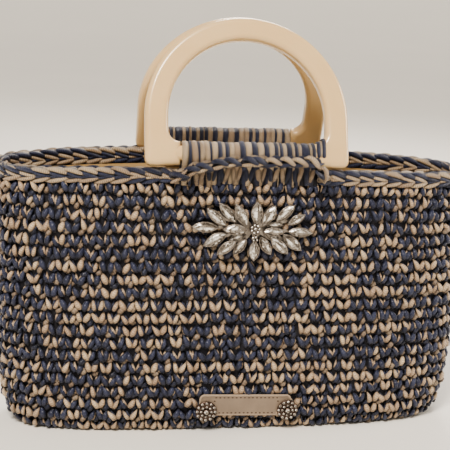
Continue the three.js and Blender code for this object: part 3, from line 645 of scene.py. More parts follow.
# The rounds are evenly spaced along the wall's slope at the middle of the front
profile = []
for step in range(PROFILE_STEPS + 1):
    z = step * BODY_TOP / PROFILE_STEPS
    profile.append((z, wall_at(z)[1]))
profile_lengths = [0.0]
for (z_low, y_low), (z_high, y_high) in zip(profile, profile[1:]):
    profile_lengths.append(profile_lengths[-1] + math.hypot(z_high - z_low, y_high - y_low))
row_pitch = profile_lengths[-1] / STITCH_ROWS
rounds = []
for row in range(STITCH_ROWS):
    goal = (row + 0.5) / STITCH_ROWS * profile_lengths[-1]
    z = next(height for (height, _), length in zip(profile, profile_lengths) if length >= goal)
    low_z, high_z = max(z - UP_SPAN, 0), min(z + UP_SPAN, BODY_TOP)
    oval, low_oval, high_oval = oval_at(z), oval_at(low_z), oval_at(high_z)
    pitch = oval[1][-1] / STITCHES_PER_ROUND
    offset = (row * ROW_SHIFT) % 1
    shares = even_shares(STITCHES_PER_ROUND, offset)
    chance = blend_of(BEIGE_SHARE_LOW, BEIGE_SHARE_HIGH, row / STITCH_ROWS)
    tones = tone_runs(STITCHES_PER_ROUND, chance, WALL_KEEP)
    loops = []
    spots = zip(on_oval(oval, shares), on_oval(low_oval, shares), on_oval(high_oval, shares), tones)
    for (point, right), (below, _), (above, _), tone in spots:
        up = Vector((*(above - below).xy, high_z - low_z))
        up = (up - up.dot(right) * right).normalized()
        at = point + Vector((0, 0, z + mouth_rise(point.x) * (z / BODY_TOP) ** 2))
        size = (pitch / NATURAL_STITCH_PITCH, row_pitch / NATURAL_ROW_PITCH, 1.0)
        loops += stitch_loops(at, right, up, right.cross(up), tone, size)
    rounds.append(loops)

# The base is worked in rounds from its middle
base_loops = []
for inset in BASE_ROUNDS:
    oval = oval_at(0, inset)
    stitches = round(oval[1][-1] / NATURAL_STITCH_PITCH)
    base_tones = tone_runs(stitches, BEIGE_SHARE_LOW, BASE_KEEP)
    for (point, right), tone in zip(on_oval(oval, even_shares(stitches, BASE_OFFSET)), base_tones):
        base_loops += stitch_loops(
            point + Vector((0, 0, BASE_LIFT)), right, Vector((right.y, -right.x, 0)), Vector((0, 0, -1)),
            tone, (1.0, 1.0, BASE_FLATNESS))
rounds.append(base_loops)

for band, (first, last) in BANDS.items():
    band_loops = [loop for loops in rounds[first:last] for loop in loops]
    stitches = grown(band, band_loops, stitch_shelf, LOOP_LOOSENESS, LOOP_SEED, tape)
    for vertex in stitches.data.vertices:
        vertex.co.z = max(vertex.co.z, 0.0)
    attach(stitches, "bag")


# Mouth edging
# The last round is worked looser and its chain of loops lies along the rim, two strands to a loop. At
# each handle the chain leaves the rim at the left foot, climbs over the front of the wrapped yarn and
# drops back beside the right foot.
EDGING_THICKNESS = 0.008
CHAIN_HEIGHT = 0.007
CHAIN_THICKNESS = 0.0045
CHAIN_SIZE = (0.95, 0.88, 0.74)
CHAIN_INSIDE_SHARE = 0.35
BACK_RIM_LIFT = 0.0012
BACK_RIM_GROWTH = 1.12
EDGING_PITCH = 0.0112
CHAIN_PITCH = 0.0100
EDGING_CORE_SHARE = 0.62
EDGING_CORE_STEP = 4
EDGING_CORE_SIDES = 8
EDGING_LENGTHS = (0.95, 1.06)
EDGING_SWELL = (0.92, 1.08)
EDGING_LOOSENESS = 0.07
EDGING_SEED = 9
LEAVES_FROM = 0.5
INSIDE_THINS_FROM = 0.3
TONE_CHANGES = {"edge_upper": 0.26, "edge_lower": 0.22, "edge_top": 0.35}
edging_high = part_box("mouth_edging")[1]
CHAIN_Z = edging_high.z - CHAIN_HEIGHT / 2
CHAIN_Y = edging_high.y - CHAIN_THICKNESS / 2
FOOT_INNER_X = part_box("handle_wrap_front")[1].x + PIECE_GAP

# The chain at a handle. Each row is a place along the rim, 1 at the right foot, and then how much the
# chain is lifted, moved out and slim there.
CHAIN_PATH = [
    (-1.2, 0.0, 0.0, 0.0), (-1.12, 0.0, 0.5, 0.4), (-1.04, 0.05, 1.0, 0.8), (-0.97, 0.28, 1.0, 1.0),
    (-0.7, 0.6, 1.0, 1.0), (-0.4, 0.86, 1.0, 1.0), (-0.2, 1.0, 1.0, 1.0), (0.93, 1.0, 1.0, 1.0),
    (1.0, 0.8, 1.0, 1.0), (1.06, 0.3, 1.0, 0.9), (1.12, 0.05, 0.6, 0.6), (1.2, 0.0, 0.0, 0.0),
]
EDGING_LOOPS = {
    "chain_leaf": [
        [(-6.4, 0.4, 1.2, 0.8), (-4.8, 2.7, 2.9, 1.8), (-1.0, 2.5, 4.2, 2.4), (3.4, -0.6, 3.7, 2.1),
         (7.4, -3.6, 1.0, 0.8)],
        [(-8.0, -3.2, 0.8, 0.8), (-3.8, -3.1, 2.3, 1.8), (1.0, -1.9, 2.8, 1.9), (5.0, 0.6, 2.2, 1.5),
         (8.0, 2.4, 0.6, 0.6)],
    ],
    "edge_lower": [
        [(-9.4, -5.8, 0.6, 0.5), (-5.4, -5.6, 2.5, 1.3), (-0.6, -4.7, 3.3, 1.75), (4.6, -3.4, 2.9, 1.5),
         (9.2, -2.0, 0.6, 0.5)],
        [(-8.0, -2.6, 0.6, 0.5), (-3.8, -2.2, 2.5, 1.3), (1.2, -1.7, 2.9, 1.4), (6.2, -0.9, 0.8, 0.5)],
    ],
    "edge_top": [
        [(-8.0, 2.6, -2.8, 0.7), (-4.0, 3.0, -1.2, 1.7), (0.6, 2.9, 0.6, 2.0), (4.4, 2.5, 1.9, 1.7),
         (7.6, 1.5, 2.4, 0.6)],
        [(-7.4, 2.7, 0.4, 0.5), (-3.2, 3.2, 0.8, 1.1), (1.4, 2.9, 2.2, 1.2), (6.2, 1.7, 2.4, 0.5)],
    ],
    "edge_upper": [
        [(-9.4, 2.4, 0.8, 0.5), (-5.4, 3.6, 2.7, 1.4), (-0.4, 3.0, 3.6, 1.9), (4.8, 1.4, 3.2, 1.6),
         (9.2, -0.6, 0.8, 0.5)],
        [(-8.6, 0.9, 1.0, 0.5), (-3.8, 0.5, 2.8, 1.5), (1.2, -0.9, 3.2, 1.7), (5.8, -2.2, 2.6, 1.1),
         (9.0, -2.8, 0.4, 0.5)],
    ],
}
edging_random = random.Random(8)
edging_names = sorted(EDGING_LOOPS)
# The edging's loops get painted shade where they lie less than 0.4 mm out
edging_shelf = shape_shelf("edging_shapes", [
    strand_shape(name, EDGING_LOOPS[name], steps=2, deep_below=0.4, deep_span=2.0) for name in edging_names])


def chain_at(point):
    """How much the chain is lifted, moved out and slim at a point of the rim, alike front and back."""
    along = (point.x if point.y < 0 else -point.x) / FOOT_INNER_X
    if abs(along) >= CHAIN_PATH[-1][0]:
        return CHAIN_PATH[-1][1:]
    row = 1
    while CHAIN_PATH[row][0] < along:
        row += 1
    near, far = CHAIN_PATH[row - 1], CHAIN_PATH[row]
    part = (along - near[0]) / (far[0] - near[0])
    part = part * part * (3 - 2 * part)
    return [blend_of(low, high, part) for low, high in zip(near[1:], far[1:])]


# The edging's middle line, counter-clockwise from above, each point with its slim share
edge = []
for point in oval_at(BODY_TOP, WALL / 2)[0][:-1]:
    lift, moved_out, slim = chain_at(point)
    low_z = BODY_TOP + PIECE_GAP + EDGING_HEIGHT / 2 + mouth_rise(point.x)
    y = point.y + math.copysign((CHAIN_Y - abs(point.y)) * moved_out, point.y)
    edge.append((Vector((point.x, y, blend_of(low_z, CHAIN_Z, lift))), slim))


def edge_frame(index):
    """Place, way ahead, up and out at a point of the edging's line."""
    before, after = edge[(index - 2) % len(edge)][0], edge[(index + 2) % len(edge)][0]
    ahead = (after - before).normalized()
    up = (Vector((0, 0, 1)) - ahead.z * ahead).normalized()
    return edge[index][0], ahead, up, ahead.cross(up)


# The edging's core, under its loops, has the same painted shade
edge_core_rings = []
for index in range(0, len(edge), EDGING_CORE_STEP):
    at, ahead, up, out = edge_frame(index)
    slim = edge[index][1]
    half_height = EDGING_CORE_SHARE * blend_of(EDGING_HEIGHT, CHAIN_HEIGHT, slim) / 2
    half_thick = EDGING_CORE_SHARE * blend_of(EDGING_THICKNESS, CHAIN_THICKNESS, slim) / 2
    edge_core_rings.append([
        at + half_thick * math.cos(turn) * out + half_height * math.sin(turn) * up
        for turn in round_steps(EDGING_CORE_SIDES)])
edging_core = lofted("edging_core", edge_core_rings, looped=True)
edging_core.data.materials.append(shade_core_material)
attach(edging_core, "bag")

edge_loops = []
spent = 0.0
next_at = 0.0
edge_tones = {"edge_upper": 1.0, "edge_lower": 1.0, "edge_top": 0.0}
for index in range(len(edge)):
    at, ahead, up, out = edge_frame(index)
    if spent >= next_at:
        slim = edge[index][1]
        growth, lift = (BACK_RIM_GROWTH, BACK_RIM_LIFT) if at.y > 0 else (1.0, 0.0)
        long, high, thick = (blend_of(1.0, share, slim) for share in CHAIN_SIZE)
        next_at += blend_of(EDGING_PITCH, CHAIN_PITCH, slim)
        for name, chance in TONE_CHANGES.items():
            if edging_random.random() < chance:
                edge_tones[name] = 1.0 - edge_tones[name]
        strands = {"chain_leaf": edge_tones["edge_upper"]} if slim > LEAVES_FROM else edge_tones
        for inside in (False, True):
            facing = facing_of(-ahead, up, -out) if inside else facing_of(ahead, up, out)
            depth = thick * (CHAIN_INSIDE_SHARE if inside and slim > INSIDE_THINS_FROM else 1.0)
            for name, tone in strands.items():
                edge_loops.append(loop_at(
                    at + up * lift, facing,
                    (long * edging_random.uniform(*EDGING_LENGTHS),
                     growth * high * edging_random.uniform(*EDGING_SWELL), depth),
                    edging_names.index(name), 1.0 - tone if inside else tone, edging_random.random()))
    spent += (edge[(index + 1) % len(edge)][0] - at).length
edging_loops = grown("edging_braid", edge_loops, edging_shelf, EDGING_LOOSENESS, EDGING_SEED, ribbed_tape)
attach(edging_loops, "bag")
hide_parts("mouth_edging")


# Handles
# Two D handles of cast ivory resin, flat and thick with round edges. Each leg ends in a square foot
# with a small fillet, and a rod between the feet carries the yarn.
HANDLE_RING = 0.017
HANDLE_FILLET = 0.0085
HANDLE_THICKNESS = 0.011
HANDLE_EDGE_ROUND = 0.004
HANDLE_CORNER_EXTRA = 0.0008
HANDLE_CORNER = HANDLE_EDGE_ROUND + HANDLE_CORNER_EXTRA
HANDLE_FOOT_HEIGHT = 0.0175
HANDLE_HEIGHT = 0.111
HANDLE_ROD_RADIUS = 0.006
HANDLE_ROD_SIDES = 32
HANDLE_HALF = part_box("handle_front")[1].x
HINGES = {joint["child"]: Vector(joint["pos_m"]) for joint in frame["joints"]}
HANDLE_ARC_STEPS = 72
HANDLE_CORNER_STEPS = 8
HANDLE_FILLET_STEPS = 12
HANDLE_ROUND_STEPS = 7
RESIN = (0.705, 0.485, 0.245, 1)
RESIN_PALE = (0.770, 0.560, 0.310, 1)


def arc_points(x, z, radius, start, stop, steps):
    """Points on an arc, its start and stop in quarter turns."""
    turns = [QUARTER_TURN * blend_of(start, stop, step / steps) for step in range(steps + 1)]
    return [(x + radius * math.cos(turn), z + radius * math.sin(turn)) for turn in turns]


def handle_outline(inset):
    """The D's outline moved in by an inset, with the rod's axis at the origin."""
    low = -HANDLE_FOOT_HEIGHT / 2
    arch_z = low + HANDLE_HEIGHT - HANDLE_HALF
    fillet_z = low + HANDLE_FOOT_HEIGHT + HANDLE_FILLET
    fillet_radius = HANDLE_FILLET + inset
    fillet_end = math.acos(inset / fillet_radius) / QUARTER_TURN
    corner_x, corner_z = HANDLE_HALF - HANDLE_CORNER, low + HANDLE_CORNER
    corner_radius = HANDLE_CORNER - inset
    return [
        *arc_points(-corner_x, corner_z, corner_radius, 2, 3, HANDLE_CORNER_STEPS),
        (-FOOT_INNER_X - inset, low + inset),
        *arc_points(-FOOT_INNER_X, fillet_z, fillet_radius, 2 + fillet_end, 2, HANDLE_FILLET_STEPS),
        *arc_points(0, arch_z, HANDLE_HALF - HANDLE_RING + inset, 2, 0, HANDLE_ARC_STEPS),
        *arc_points(FOOT_INNER_X, fillet_z, fillet_radius, 0, -fillet_end, HANDLE_FILLET_STEPS),
        (FOOT_INNER_X + inset, low + inset),
        *arc_points(corner_x, corner_z, corner_radius, -1, 0, HANDLE_CORNER_STEPS),
        *arc_points(0, arch_z, HANDLE_HALF - inset, 0, 2, HANDLE_ARC_STEPS),
    ]


def handle_mesh(name):
    """The D upright in the plane of X and Z, its thickness along Y, with its rod."""
    shape = bmesh.new()
    half = HANDLE_THICKNESS / 2
    turns = [QUARTER_TURN * step / HANDLE_ROUND_STEPS for step in range(HANDLE_ROUND_STEPS + 1)]
    levels = [(HANDLE_EDGE_ROUND * (1 - math.sin(turn)), half - HANDLE_EDGE_ROUND * (1 - math.cos(turn)))
              for turn in turns]
    levels += [(inset, -y) for inset, y in reversed(levels)]
    rings = [[(x, y, z) for x, z in handle_outline(inset)] for inset, y in levels]
    corners = [shape.verts.new(point) for ring in rings for point in ring]
    count = len(rings[0])
    for face in band_faces(len(rings), count):
        shape.faces.new([corners[corner] for corner in face])
    shape.faces.new(corners[count - 1::-1])
    shape.faces.new(corners[-count:])
    rod = bmesh.ops.create_cone(
        shape, cap_ends=True, segments=HANDLE_ROD_SIDES, radius1=HANDLE_ROD_RADIUS,
        radius2=HANDLE_ROD_RADIUS, depth=2 * (FOOT_INNER_X + HANDLE_EDGE_ROUND))
    bmesh.ops.rotate(shape, verts=rod["verts"], cent=(0, 0, 0), matrix=Matrix.Rotation(QUARTER_TURN, 3, "Y"))
    bmesh.ops.recalc_face_normals(shape, faces=shape.faces[:])
    for face in shape.faces:
        face.smooth = len(face.verts) == 4
    data = bpy.data.meshes.new(name)
    shape.to_mesh(data)
    shape.free()
    return data


resin_material, tree, surface = new_material("ivory_resin", {
    "Roughness": 0.28, "Subsurface Weight": 0.12, "Subsurface Radius": (0.004, 0.002, 0.001),
    "Coat Weight": 0.45, "Coat Roughness": 0.12})
clouds = textured(tree, "Noise", {"Scale": 26.0, "Detail": 3.0, "Distortion": 0.6}).outputs[0]
wear = textured(tree, "Noise", {"Scale": 240.0, "Detail": 4.0}).outputs[0]
covered(tree, surface, mixed(tree, clouds, RESIN, RESIN_PALE), wear, 0.05, 0.0005)

lean_height = HANDLE_HEIGHT - HANDLE_FOOT_HEIGHT / 2 - HANDLE_EDGE_ROUND
lean_out = HANDLE_THICKNESS / 2 - HANDLE_EDGE_ROUND
hinge_out = abs(HINGES["front_handle"].y)
HANDLE_LEAN = math.asin((hinge_out - PIECE_GAP - HANDLE_EDGE_ROUND) / math.hypot(lean_height, lean_out))
HANDLE_LEAN -= math.atan2(lean_out, lean_height)
for side, facing in (("front", 0), ("back", math.pi)):
    body = side + "_handle"
    handle_data = handle_mesh("resin_handle_" + side)
    handle_data.transform(
        Matrix.Translation(HINGES[body]) @ Matrix.Rotation(facing, 4, "Z")
        @ Matrix.Rotation(-HANDLE_LEAN, 4, "X"))
    handle_data.materials.append(resin_material)
    handle = linked("resin_handle_" + side, handle_data)
    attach(handle, body)
    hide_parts("handle_" + side)


# Handle wraps
# Both tapes are wound over each rod and down to the rim, beige and navy in turn, beige mostly broader.
# They lie as fat ribbons, a little fanned, and short upright strands tie them to the top round.
RIBBON_SHAPES = {
    "post_single": [
        [(-0.6, 7.4, -1.6, 0.8), (-0.3, 3.6, 0.0, 1.5), (0.3, -2.0, 0.2, 1.5), (0.7, -7.0, -1.8, 0.8)],
    ],
    "post_slant": [
        [(1.0, 7.4, -1.6, 0.8), (0.7, 3.4, 0.0, 1.4), (-0.3, -2.2, 0.1, 1.4), (-1.0, -7.0, -1.8, 0.7)],
    ],
    "ribbon_plain": [
        [(0.0, -21.5, 4.6, 1.8), (0.0, -13.0, 5.0, 2.0), (0.0, -7.2, 6.6, 2.1), (0.0, -1.0, 8.2, 2.1),
         (0.0, 5.9, 5.9, 2.1), (0.0, 8.3, 0.0, 2.1), (0.0, 5.9, -5.9, 2.1), (0.0, -1.0, -8.2, 2.1),
         (0.0, -7.0, -5.0, 2.0), (0.0, -12.0, -1.0, 1.8), (0.0, -17.0, -0.6, 1.5)],
    ],
    "ribbon_slant": [
        [(2.2, -21.5, 4.6, 1.8), (1.6, -13.0, 5.0, 2.2), (1.1, -7.2, 6.7, 2.3), (0.2, -1.0, 8.4, 2.2),
         (-0.3, 6.0, 6.0, 2.1), (-0.4, 8.5, 0.0, 2.1), (-0.2, 6.0, -6.0, 2.1), (0.2, -1.0, -8.3, 2.1),
         (0.8, -7.0, -5.0, 2.0), (1.0, -12.0, -1.0, 1.8), (1.2, -17.0, -0.6, 1.5)],
    ],
}
RIBBONS_BEIGE = [5.5, 4.8, 3.7, 4.1, 4.8, 2.6, 4.1, 5.0, 5.5, 5.2, 4.4, 1.2, 3.3, 2.2, 3.1, 2.2]
RIBBONS_NAVY = [2.6, 1.9, 0.0, 1.9, 3.3, 3.3, 0.0, 4.2, 4.8, 4.1, 3.0, 3.0, 4.1, 3.0, 6.4, 3.0]
RIBBON_NOMINAL = 4.2
RIBBON_OVERLAP = 1.16
RIBBON_CLEARANCE = 0.0006
RIBBON_PLAIN_BEYOND = 0.86
# Ribbons get no painted shade from depth; posts get it towards their sunk ends
RIBBON_LOOK = {"sides": 8, "steps": 2, "flatness": 0.56, "deep_below": -90, "across": (1, 0, 0)}
RIBBON_SWELL = {"front": (0.96, 1.06), "back": (0.87, 0.95)}
POST_LOOK = {"sides": 8, "steps": 2, "flatness": 0.6, "deep_below": -0.2}
POST_PITCH = 0.0044
POST_FOOT = 0.1925
POST_LENGTH = 0.0148
POST_OUT = 0.0066
POST_WIDTHS = (0.95, 1.35)
POST_NAVY_SHARE = 0.4
# Painted shade: the posts, which lie in shade under the chain, get less of the pale wear than other loops, so
# their colour stays darker
POST_WEAR_DIMMED_FOR_SHADE = 0.25
WRAP_LOOSENESS = 0.014
WRAP_SEED = 3
WRAP_CORE_HALF = 0.0046
# Rows of height and reach, as a share of the way to the foot
WRAP_CORE_LEVELS = [
    (BODY_TOP + PIECE_GAP, 1.05), (BAG_HEIGHT - MM, 1.05), (BAG_HEIGHT, 0.995),
    (HINGES["front_handle"].z - HANDLE_ROD_RADIUS - PIECE_GAP, 0.995),
]
wrap_random = random.Random(5)
ribbon_names = sorted(RIBBON_SHAPES)
ribbon_shelf = shape_shelf("ribbon_shapes", [
    strand_shape(name, RIBBON_SHAPES[name], **(RIBBON_LOOK if name.startswith("ribbon") else POST_LOOK))
    for name in ribbon_names])
ribbons = [(width, tone) for pair in zip(RIBBONS_BEIGE, RIBBONS_NAVY)
           for width, tone in zip(pair, (1.0, 0.0)) if width]
ribbon_reach = FOOT_INNER_X - RIBBON_CLEARANCE
ribbon_scale = 2 * ribbon_reach / sum(width for width, _ in ribbons)
posts = int(2 * FOOT_INNER_X / POST_PITCH)
for side, sign in (("front", -1), ("back", 1)):
    hinge = HINGES[side + "_handle"]
    # The wrap's core, behind the ribbons and posts, has the same painted shade
    wrap_core = lofted("wrap_core_" + side, [
        [Vector((across * reach * FOOT_INNER_X, hinge.y + out * WRAP_CORE_HALF, z))
         for across, out in ((-1, -1), (1, -1), (1, 1), (-1, 1))] for z, reach in WRAP_CORE_LEVELS])
    wrap_core.data.materials.append(shade_core_material)
    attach(wrap_core, "bag")
    facing = facing_of(Vector((-sign, 0, 0)), Vector((0, 0, 1)), Vector((0, sign, 0)))
    loops = []
    reached = -ribbon_reach
    for width, tone in ribbons:
        middle = reached + width * ribbon_scale / 2
        near_foot = abs(middle) > RIBBON_PLAIN_BEYOND * ribbon_reach
        swell = wrap_random.uniform(*RIBBON_SWELL[side])
        broad = width * ribbon_scale / (RIBBON_NOMINAL * MM) * (1.0 if near_foot else RIBBON_OVERLAP)
        shape = "ribbon_plain" if near_foot else wrap_random.choice(
            ["ribbon_plain", "ribbon_slant", "ribbon_slant"])
        loops.append(loop_at(
            hinge + Vector((-sign * middle, 0, 0)), facing, (broad, swell, swell), ribbon_names.index(shape),
            tone, wrap_random.random()))
        reached += width * ribbon_scale
    for index in range(posts):
        x = -FOOT_INNER_X + (index + 0.5) * 2 * FOOT_INNER_X / posts
        foot = Vector((-sign * x, hinge.y + sign * POST_OUT, POST_FOOT + mouth_rise(x)))
        top = blend_of(BODY_TOP + EDGING_HEIGHT, CHAIN_Z - CHAIN_HEIGHT / 4, chain_at(foot)[0])
        loops.append(loop_at(
            foot + Vector((0, 0, (top - foot.z) / 2)), facing,
            (wrap_random.uniform(*POST_WIDTHS), (top - foot.z) / POST_LENGTH, 1.0),
            ribbon_names.index(["post_single", "post_slant"][index % 2]),
            0.0 if wrap_random.random() < POST_NAVY_SHARE else 1.0, POST_WEAR_DIMMED_FOR_SHADE * wrap_random.random()))
    wrap = grown("yarn_wrap_" + side, loops, ribbon_shelf, WRAP_LOOSENESS, WRAP_SEED, ribbed_tape)
    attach(wrap, "bag")
    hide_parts("handle_wrap_" + side)


# Lining
# A pouch of satin cloth is sewn in just below the edging, its edge turned under. It was cut as one piece,
# folded at the base, and hangs in shallow folds.
LINING_FLAT = (0.41, 0.44)
LINING_CLEARANCE = 0.0006
LINING_CLOTH = 0.0006
LINING_FOLD = 0.0016
LINING_FOLD_WIDTH = 0.030
LINING_FOLD_LENGTH = 4 * LINING_FOLD_WIDTH
LINING_DROP = 0.0112
LINING_LOW = WALL + PIECE_GAP
LINING_TOP = BAG_HEIGHT - LINING_DROP
LINING_CORNER_SHARE = 0.03
LINING_SIDES = 180
LINING_LEVELS = 26
LINING_COLOUR = (0.230, 0.135, 0.040, 1)
LINING_COLOUR_PALE = (0.360, 0.230, 0.085, 1)


def cloth_ring(step, layer):
    """A ring of the cloth, pushed off the wall by its folds and held at its top and bottom."""
    part = step / LINING_LEVELS
    z = blend_of(LINING_LOW, LINING_TOP, part)
    inset = WALL + LINING_CLEARANCE + max(0.0, 1 - part / LINING_CORNER_SHARE) * WALL / 2 + layer
    hang = math.sin(math.pi * part) ** 0.5
    if step == 0:
        z += layer
    ring = []
    for point, along in on_oval(oval_at(z, inset), even_shares(LINING_SIDES)):
        outward = Vector((along.y, -along.x, 0))
        spot = Vector((point.x / LINING_FOLD_WIDTH, point.y / LINING_FOLD_WIDTH, z / LINING_FOLD_LENGTH))
        fold = LINING_FOLD * hang * (0.5 + 0.5 * noise.noise(spot))
        rise = mouth_rise(point.x) if step == LINING_LEVELS else 0
        ring.append(point - fold * outward + Vector((0, 0, z + rise)))
    return ring


lining = lofted("lining_cloth", [
    *(cloth_ring(step, 0) for step in range(LINING_LEVELS + 1)),
    *(cloth_ring(step, LINING_CLOTH) for step in reversed(range(LINING_LEVELS + 1))),
])
lining_uv = lining.data.uv_layers.new(name="cloth")
for face in lining.data.polygons:
    corners = [lining.data.loops[loop].vertex_index for loop in face.loop_indices]
    turns = [(corner % LINING_SIDES) / LINING_SIDES for corner in corners]
    for loop, corner, turn in zip(face.loop_indices, corners, turns):
        unwrapped = turn + 1 if max(turns) - turn > 0.5 else turn
        lining_uv.data[loop].uv = (2 * unwrapped * LINING_FLAT[0], lining.data.vertices[corner].co.z)
lining_material, tree, surface = new_material("lining_satin", {"Roughness": 0.5, "Sheen Weight": 0.3})
weave = textured(tree, "Wave", {"Scale": 260.0, "Distortion": 0.4}, read="UV", bands_direction="DIAGONAL")
twill = weave.outputs["Fac"]
blotch = textured(tree, "Noise", {"Scale": 22.0}, read="UV").outputs[0]
cloth_colour = mixed(tree, blotch, LINING_COLOUR, LINING_COLOUR_PALE)
cloth_colour = mixed(tree, reckoned(tree, "MULTIPLY", twill, 0.25), cloth_colour, LINING_COLOUR)
covered(tree, surface, cloth_colour, twill, 0.3, 0.0002)
lining.data.materials.append(lining_material)
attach(lining, "bag")
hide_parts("lining")


# Foot strands
# At the right foot of the front handle the winding climbs the fillet: three narrow tapes lie over it,
# half sunk between the leg and the wrap.
FOOT_LOOK = {"sides": 8, "steps": 2, "flatness": 0.5, "deep_below": -90, "across": (1, 0, 0)}
STRAND_OUT_MM = 5.6
STRAND_TURN_IN_MM = 1.6
STRAND_OVER_MM = 0.7
STRAND_BEND_MM = 4.5
STRAND_CREST_MM = 0.9
STRAND_TAPER = 0.7
STRAND_WEAR = 0.5
# Rows of the distance beyond the foot, the half width in mm and the tone
FOOT_STRANDS = [(0.0024, 1.6, 0.0), (0.0043, 1.0, 1.0), (0.0064, 1.5, 0.0)]
foot_points = []
foot_shapes = []
fillet_middle = HANDLE_FOOT_HEIGHT / 2 + HANDLE_FILLET
turned_in = STRAND_OUT_MM - STRAND_TURN_IN_MM
for index, (beyond, half, tone) in enumerate(FOOT_STRANDS):
    top = (fillet_middle - math.sqrt(HANDLE_FILLET ** 2 - beyond ** 2)) / MM + STRAND_OVER_MM
    front = [(-0.4, -3.0, turned_in, STRAND_TAPER * half), (-0.3, -1.0, STRAND_OUT_MM, half),
             (-0.2, top - STRAND_BEND_MM, STRAND_OUT_MM, half), (0.0, top - STRAND_CREST_MM, turned_in, half)]
    back = [(x, y, -out, wide) for x, y, out, wide in reversed(front)]
    foot_shapes.append(strand_shape(
        "foot_strand_%d" % index, [[*front, (0.0, top, 0.0, half), *back]], **FOOT_LOOK))
    foot_points.append(loop_at(
        HINGES["front_handle"] + Vector((FOOT_INNER_X + beyond, 0, 0)),
        (QUARTER_TURN - HANDLE_LEAN, 0, 0), (1, 1, 1), index, tone, STRAND_WEAR))
foot_shelf = shape_shelf("foot_shapes", foot_shapes)
foot_strands = grown("foot_strands", foot_points, foot_shelf, looseness=0.0, seed=1, material=ribbed_tape)
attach(foot_strands, "front_handle")


# Brooch stones
# Marquise stones of foil-backed glass. Each has a thin bevel round its girdle, a band of crown facets and
# a long table whose two halves catch the light differently. Their glints and dark facets are painted
# reflections in the colour of each facet.
GEM_STEPS = 8
GEM_CORNERS = 2 * GEM_STEPS
GEM_GIRDLE = 0.4
# Rows of how broad and how high a stone is at a level
GEM_LEVELS = [(0.62, 0.0), (1.0, GEM_GIRDLE), (0.90, 0.62), (0.66, 0.93), (0.50, 1.0)]
GEM_RIDGE = 1.03
BEVEL_BANDS = 2
SPARK_CHANCE = 0.16
GLEAM_FIRST = (1, 5)
GLEAM_STEPS = 4
# Painted reflections: the glint that each kind of facet gets in its colour, from near black to white
GLINTS = {
    "base": 0.2, "bevel": (0.42, 0.72), "spark": (0.8, 1.0), "crown_lit": (0.4, 0.66), "crown": (0.12, 0.4),
    "gleam": (0.85, 1.0), "table_lit": (0.5, 0.8), "table": (0.1, 0.45), "round": (0.0, 0.9),
}
CRYSTAL_REFLECTION_DARK = (0.050, 0.038, 0.028, 1)
CRYSTAL_REFLECTION_MIDDLE = (0.250, 0.212, 0.175, 1)
CRYSTAL_REFLECTION_PALE = (0.930, 0.900, 0.840, 1)
gem_random = random.Random(17)


def crystal_material(name):
    """Clear glass over foil, its reflections painted: every facet has its own glint, from near black to
    white.
    """
    material, tree, surface = new_material(name, {
        "Metallic": 0.35, "Roughness": 0.14, "Coat Weight": 1.0, "Coat Roughness": 0.03})
    glint = add_node(tree, "ShaderNodeAttribute", attribute_name="glint").outputs["Fac"]
    flecks = textured(tree, "Voronoi", {"Scale": 620.0}, distance="MANHATTAN").outputs
    fleck = add_node(tree, "ShaderNodeSeparateColor", {0: flecks["Color"]}).outputs[0]
    spread = reckoned(tree, "MULTIPLY", reckoned(tree, "SUBTRACT", fleck, 0.5), 0.45)
    doubled = reckoned(tree, "MULTIPLY", held_in(tree, reckoned(tree, "ADD", glint, spread)), 2.0)
    low = mixed(tree, held_in(tree, doubled), CRYSTAL_REFLECTION_DARK, CRYSTAL_REFLECTION_MIDDLE)
    high = held_in(tree, reckoned(tree, "SUBTRACT", doubled, 1.0))
    covered(tree, surface, mixed(tree, high, low, CRYSTAL_REFLECTION_PALE), flecks["Distance"], 0.25, 0.0006)
    return material


def gem_place(node):
    """Where a stone sits, its turn in the brooch's plane, its length, width and height."""
    points = [vertex.co.copy() for vertex in frame["nodes"][node].data.vertices]
    flat = [Vector((point.x, point.z)) for point in points]
    tips = max(((one, two) for one in flat for two in flat), key=lambda pair: (pair[0] - pair[1]).length)
    middle, way = (tips[0] + tips[1]) / 2, (tips[1] - tips[0]).normalized()
    across = Vector((-way.y, way.x))
    width = 2 * max(abs((point - middle).dot(across)) for point in flat)
    back = max(point.y for point in points)
    return (Matrix.Translation((middle.x, back, middle.y)) @ Matrix.Rotation(QUARTER_TURN, 4, "X")
            @ Matrix.Rotation(math.atan2(way.y, way.x), 4, "Z"),
            (tips[1] - tips[0]).length, width, back - min(point.y for point in points))


def marquise(length, width, share):
    """A pointed oval with its tips on X, counter-clockwise from its left tip."""
    lower = [(-1 + 2 * step / GEM_STEPS) for step in range(GEM_STEPS)]
    points = [(t * length / 2, -(width / 2) * (1 - t * t)) for t in lower]
    points += [(-x, -y) for x, y in points]
    return [(x * share, y * share) for x, y in points]


def faceted_mesh(name, points, faces, glints):
    """A mesh with a glint for each facet."""
    data = mesh_of(name, points, faces)
    data.attributes.new("glint", "FLOAT", "FACE").data.foreach_set("value", glints)
    return data


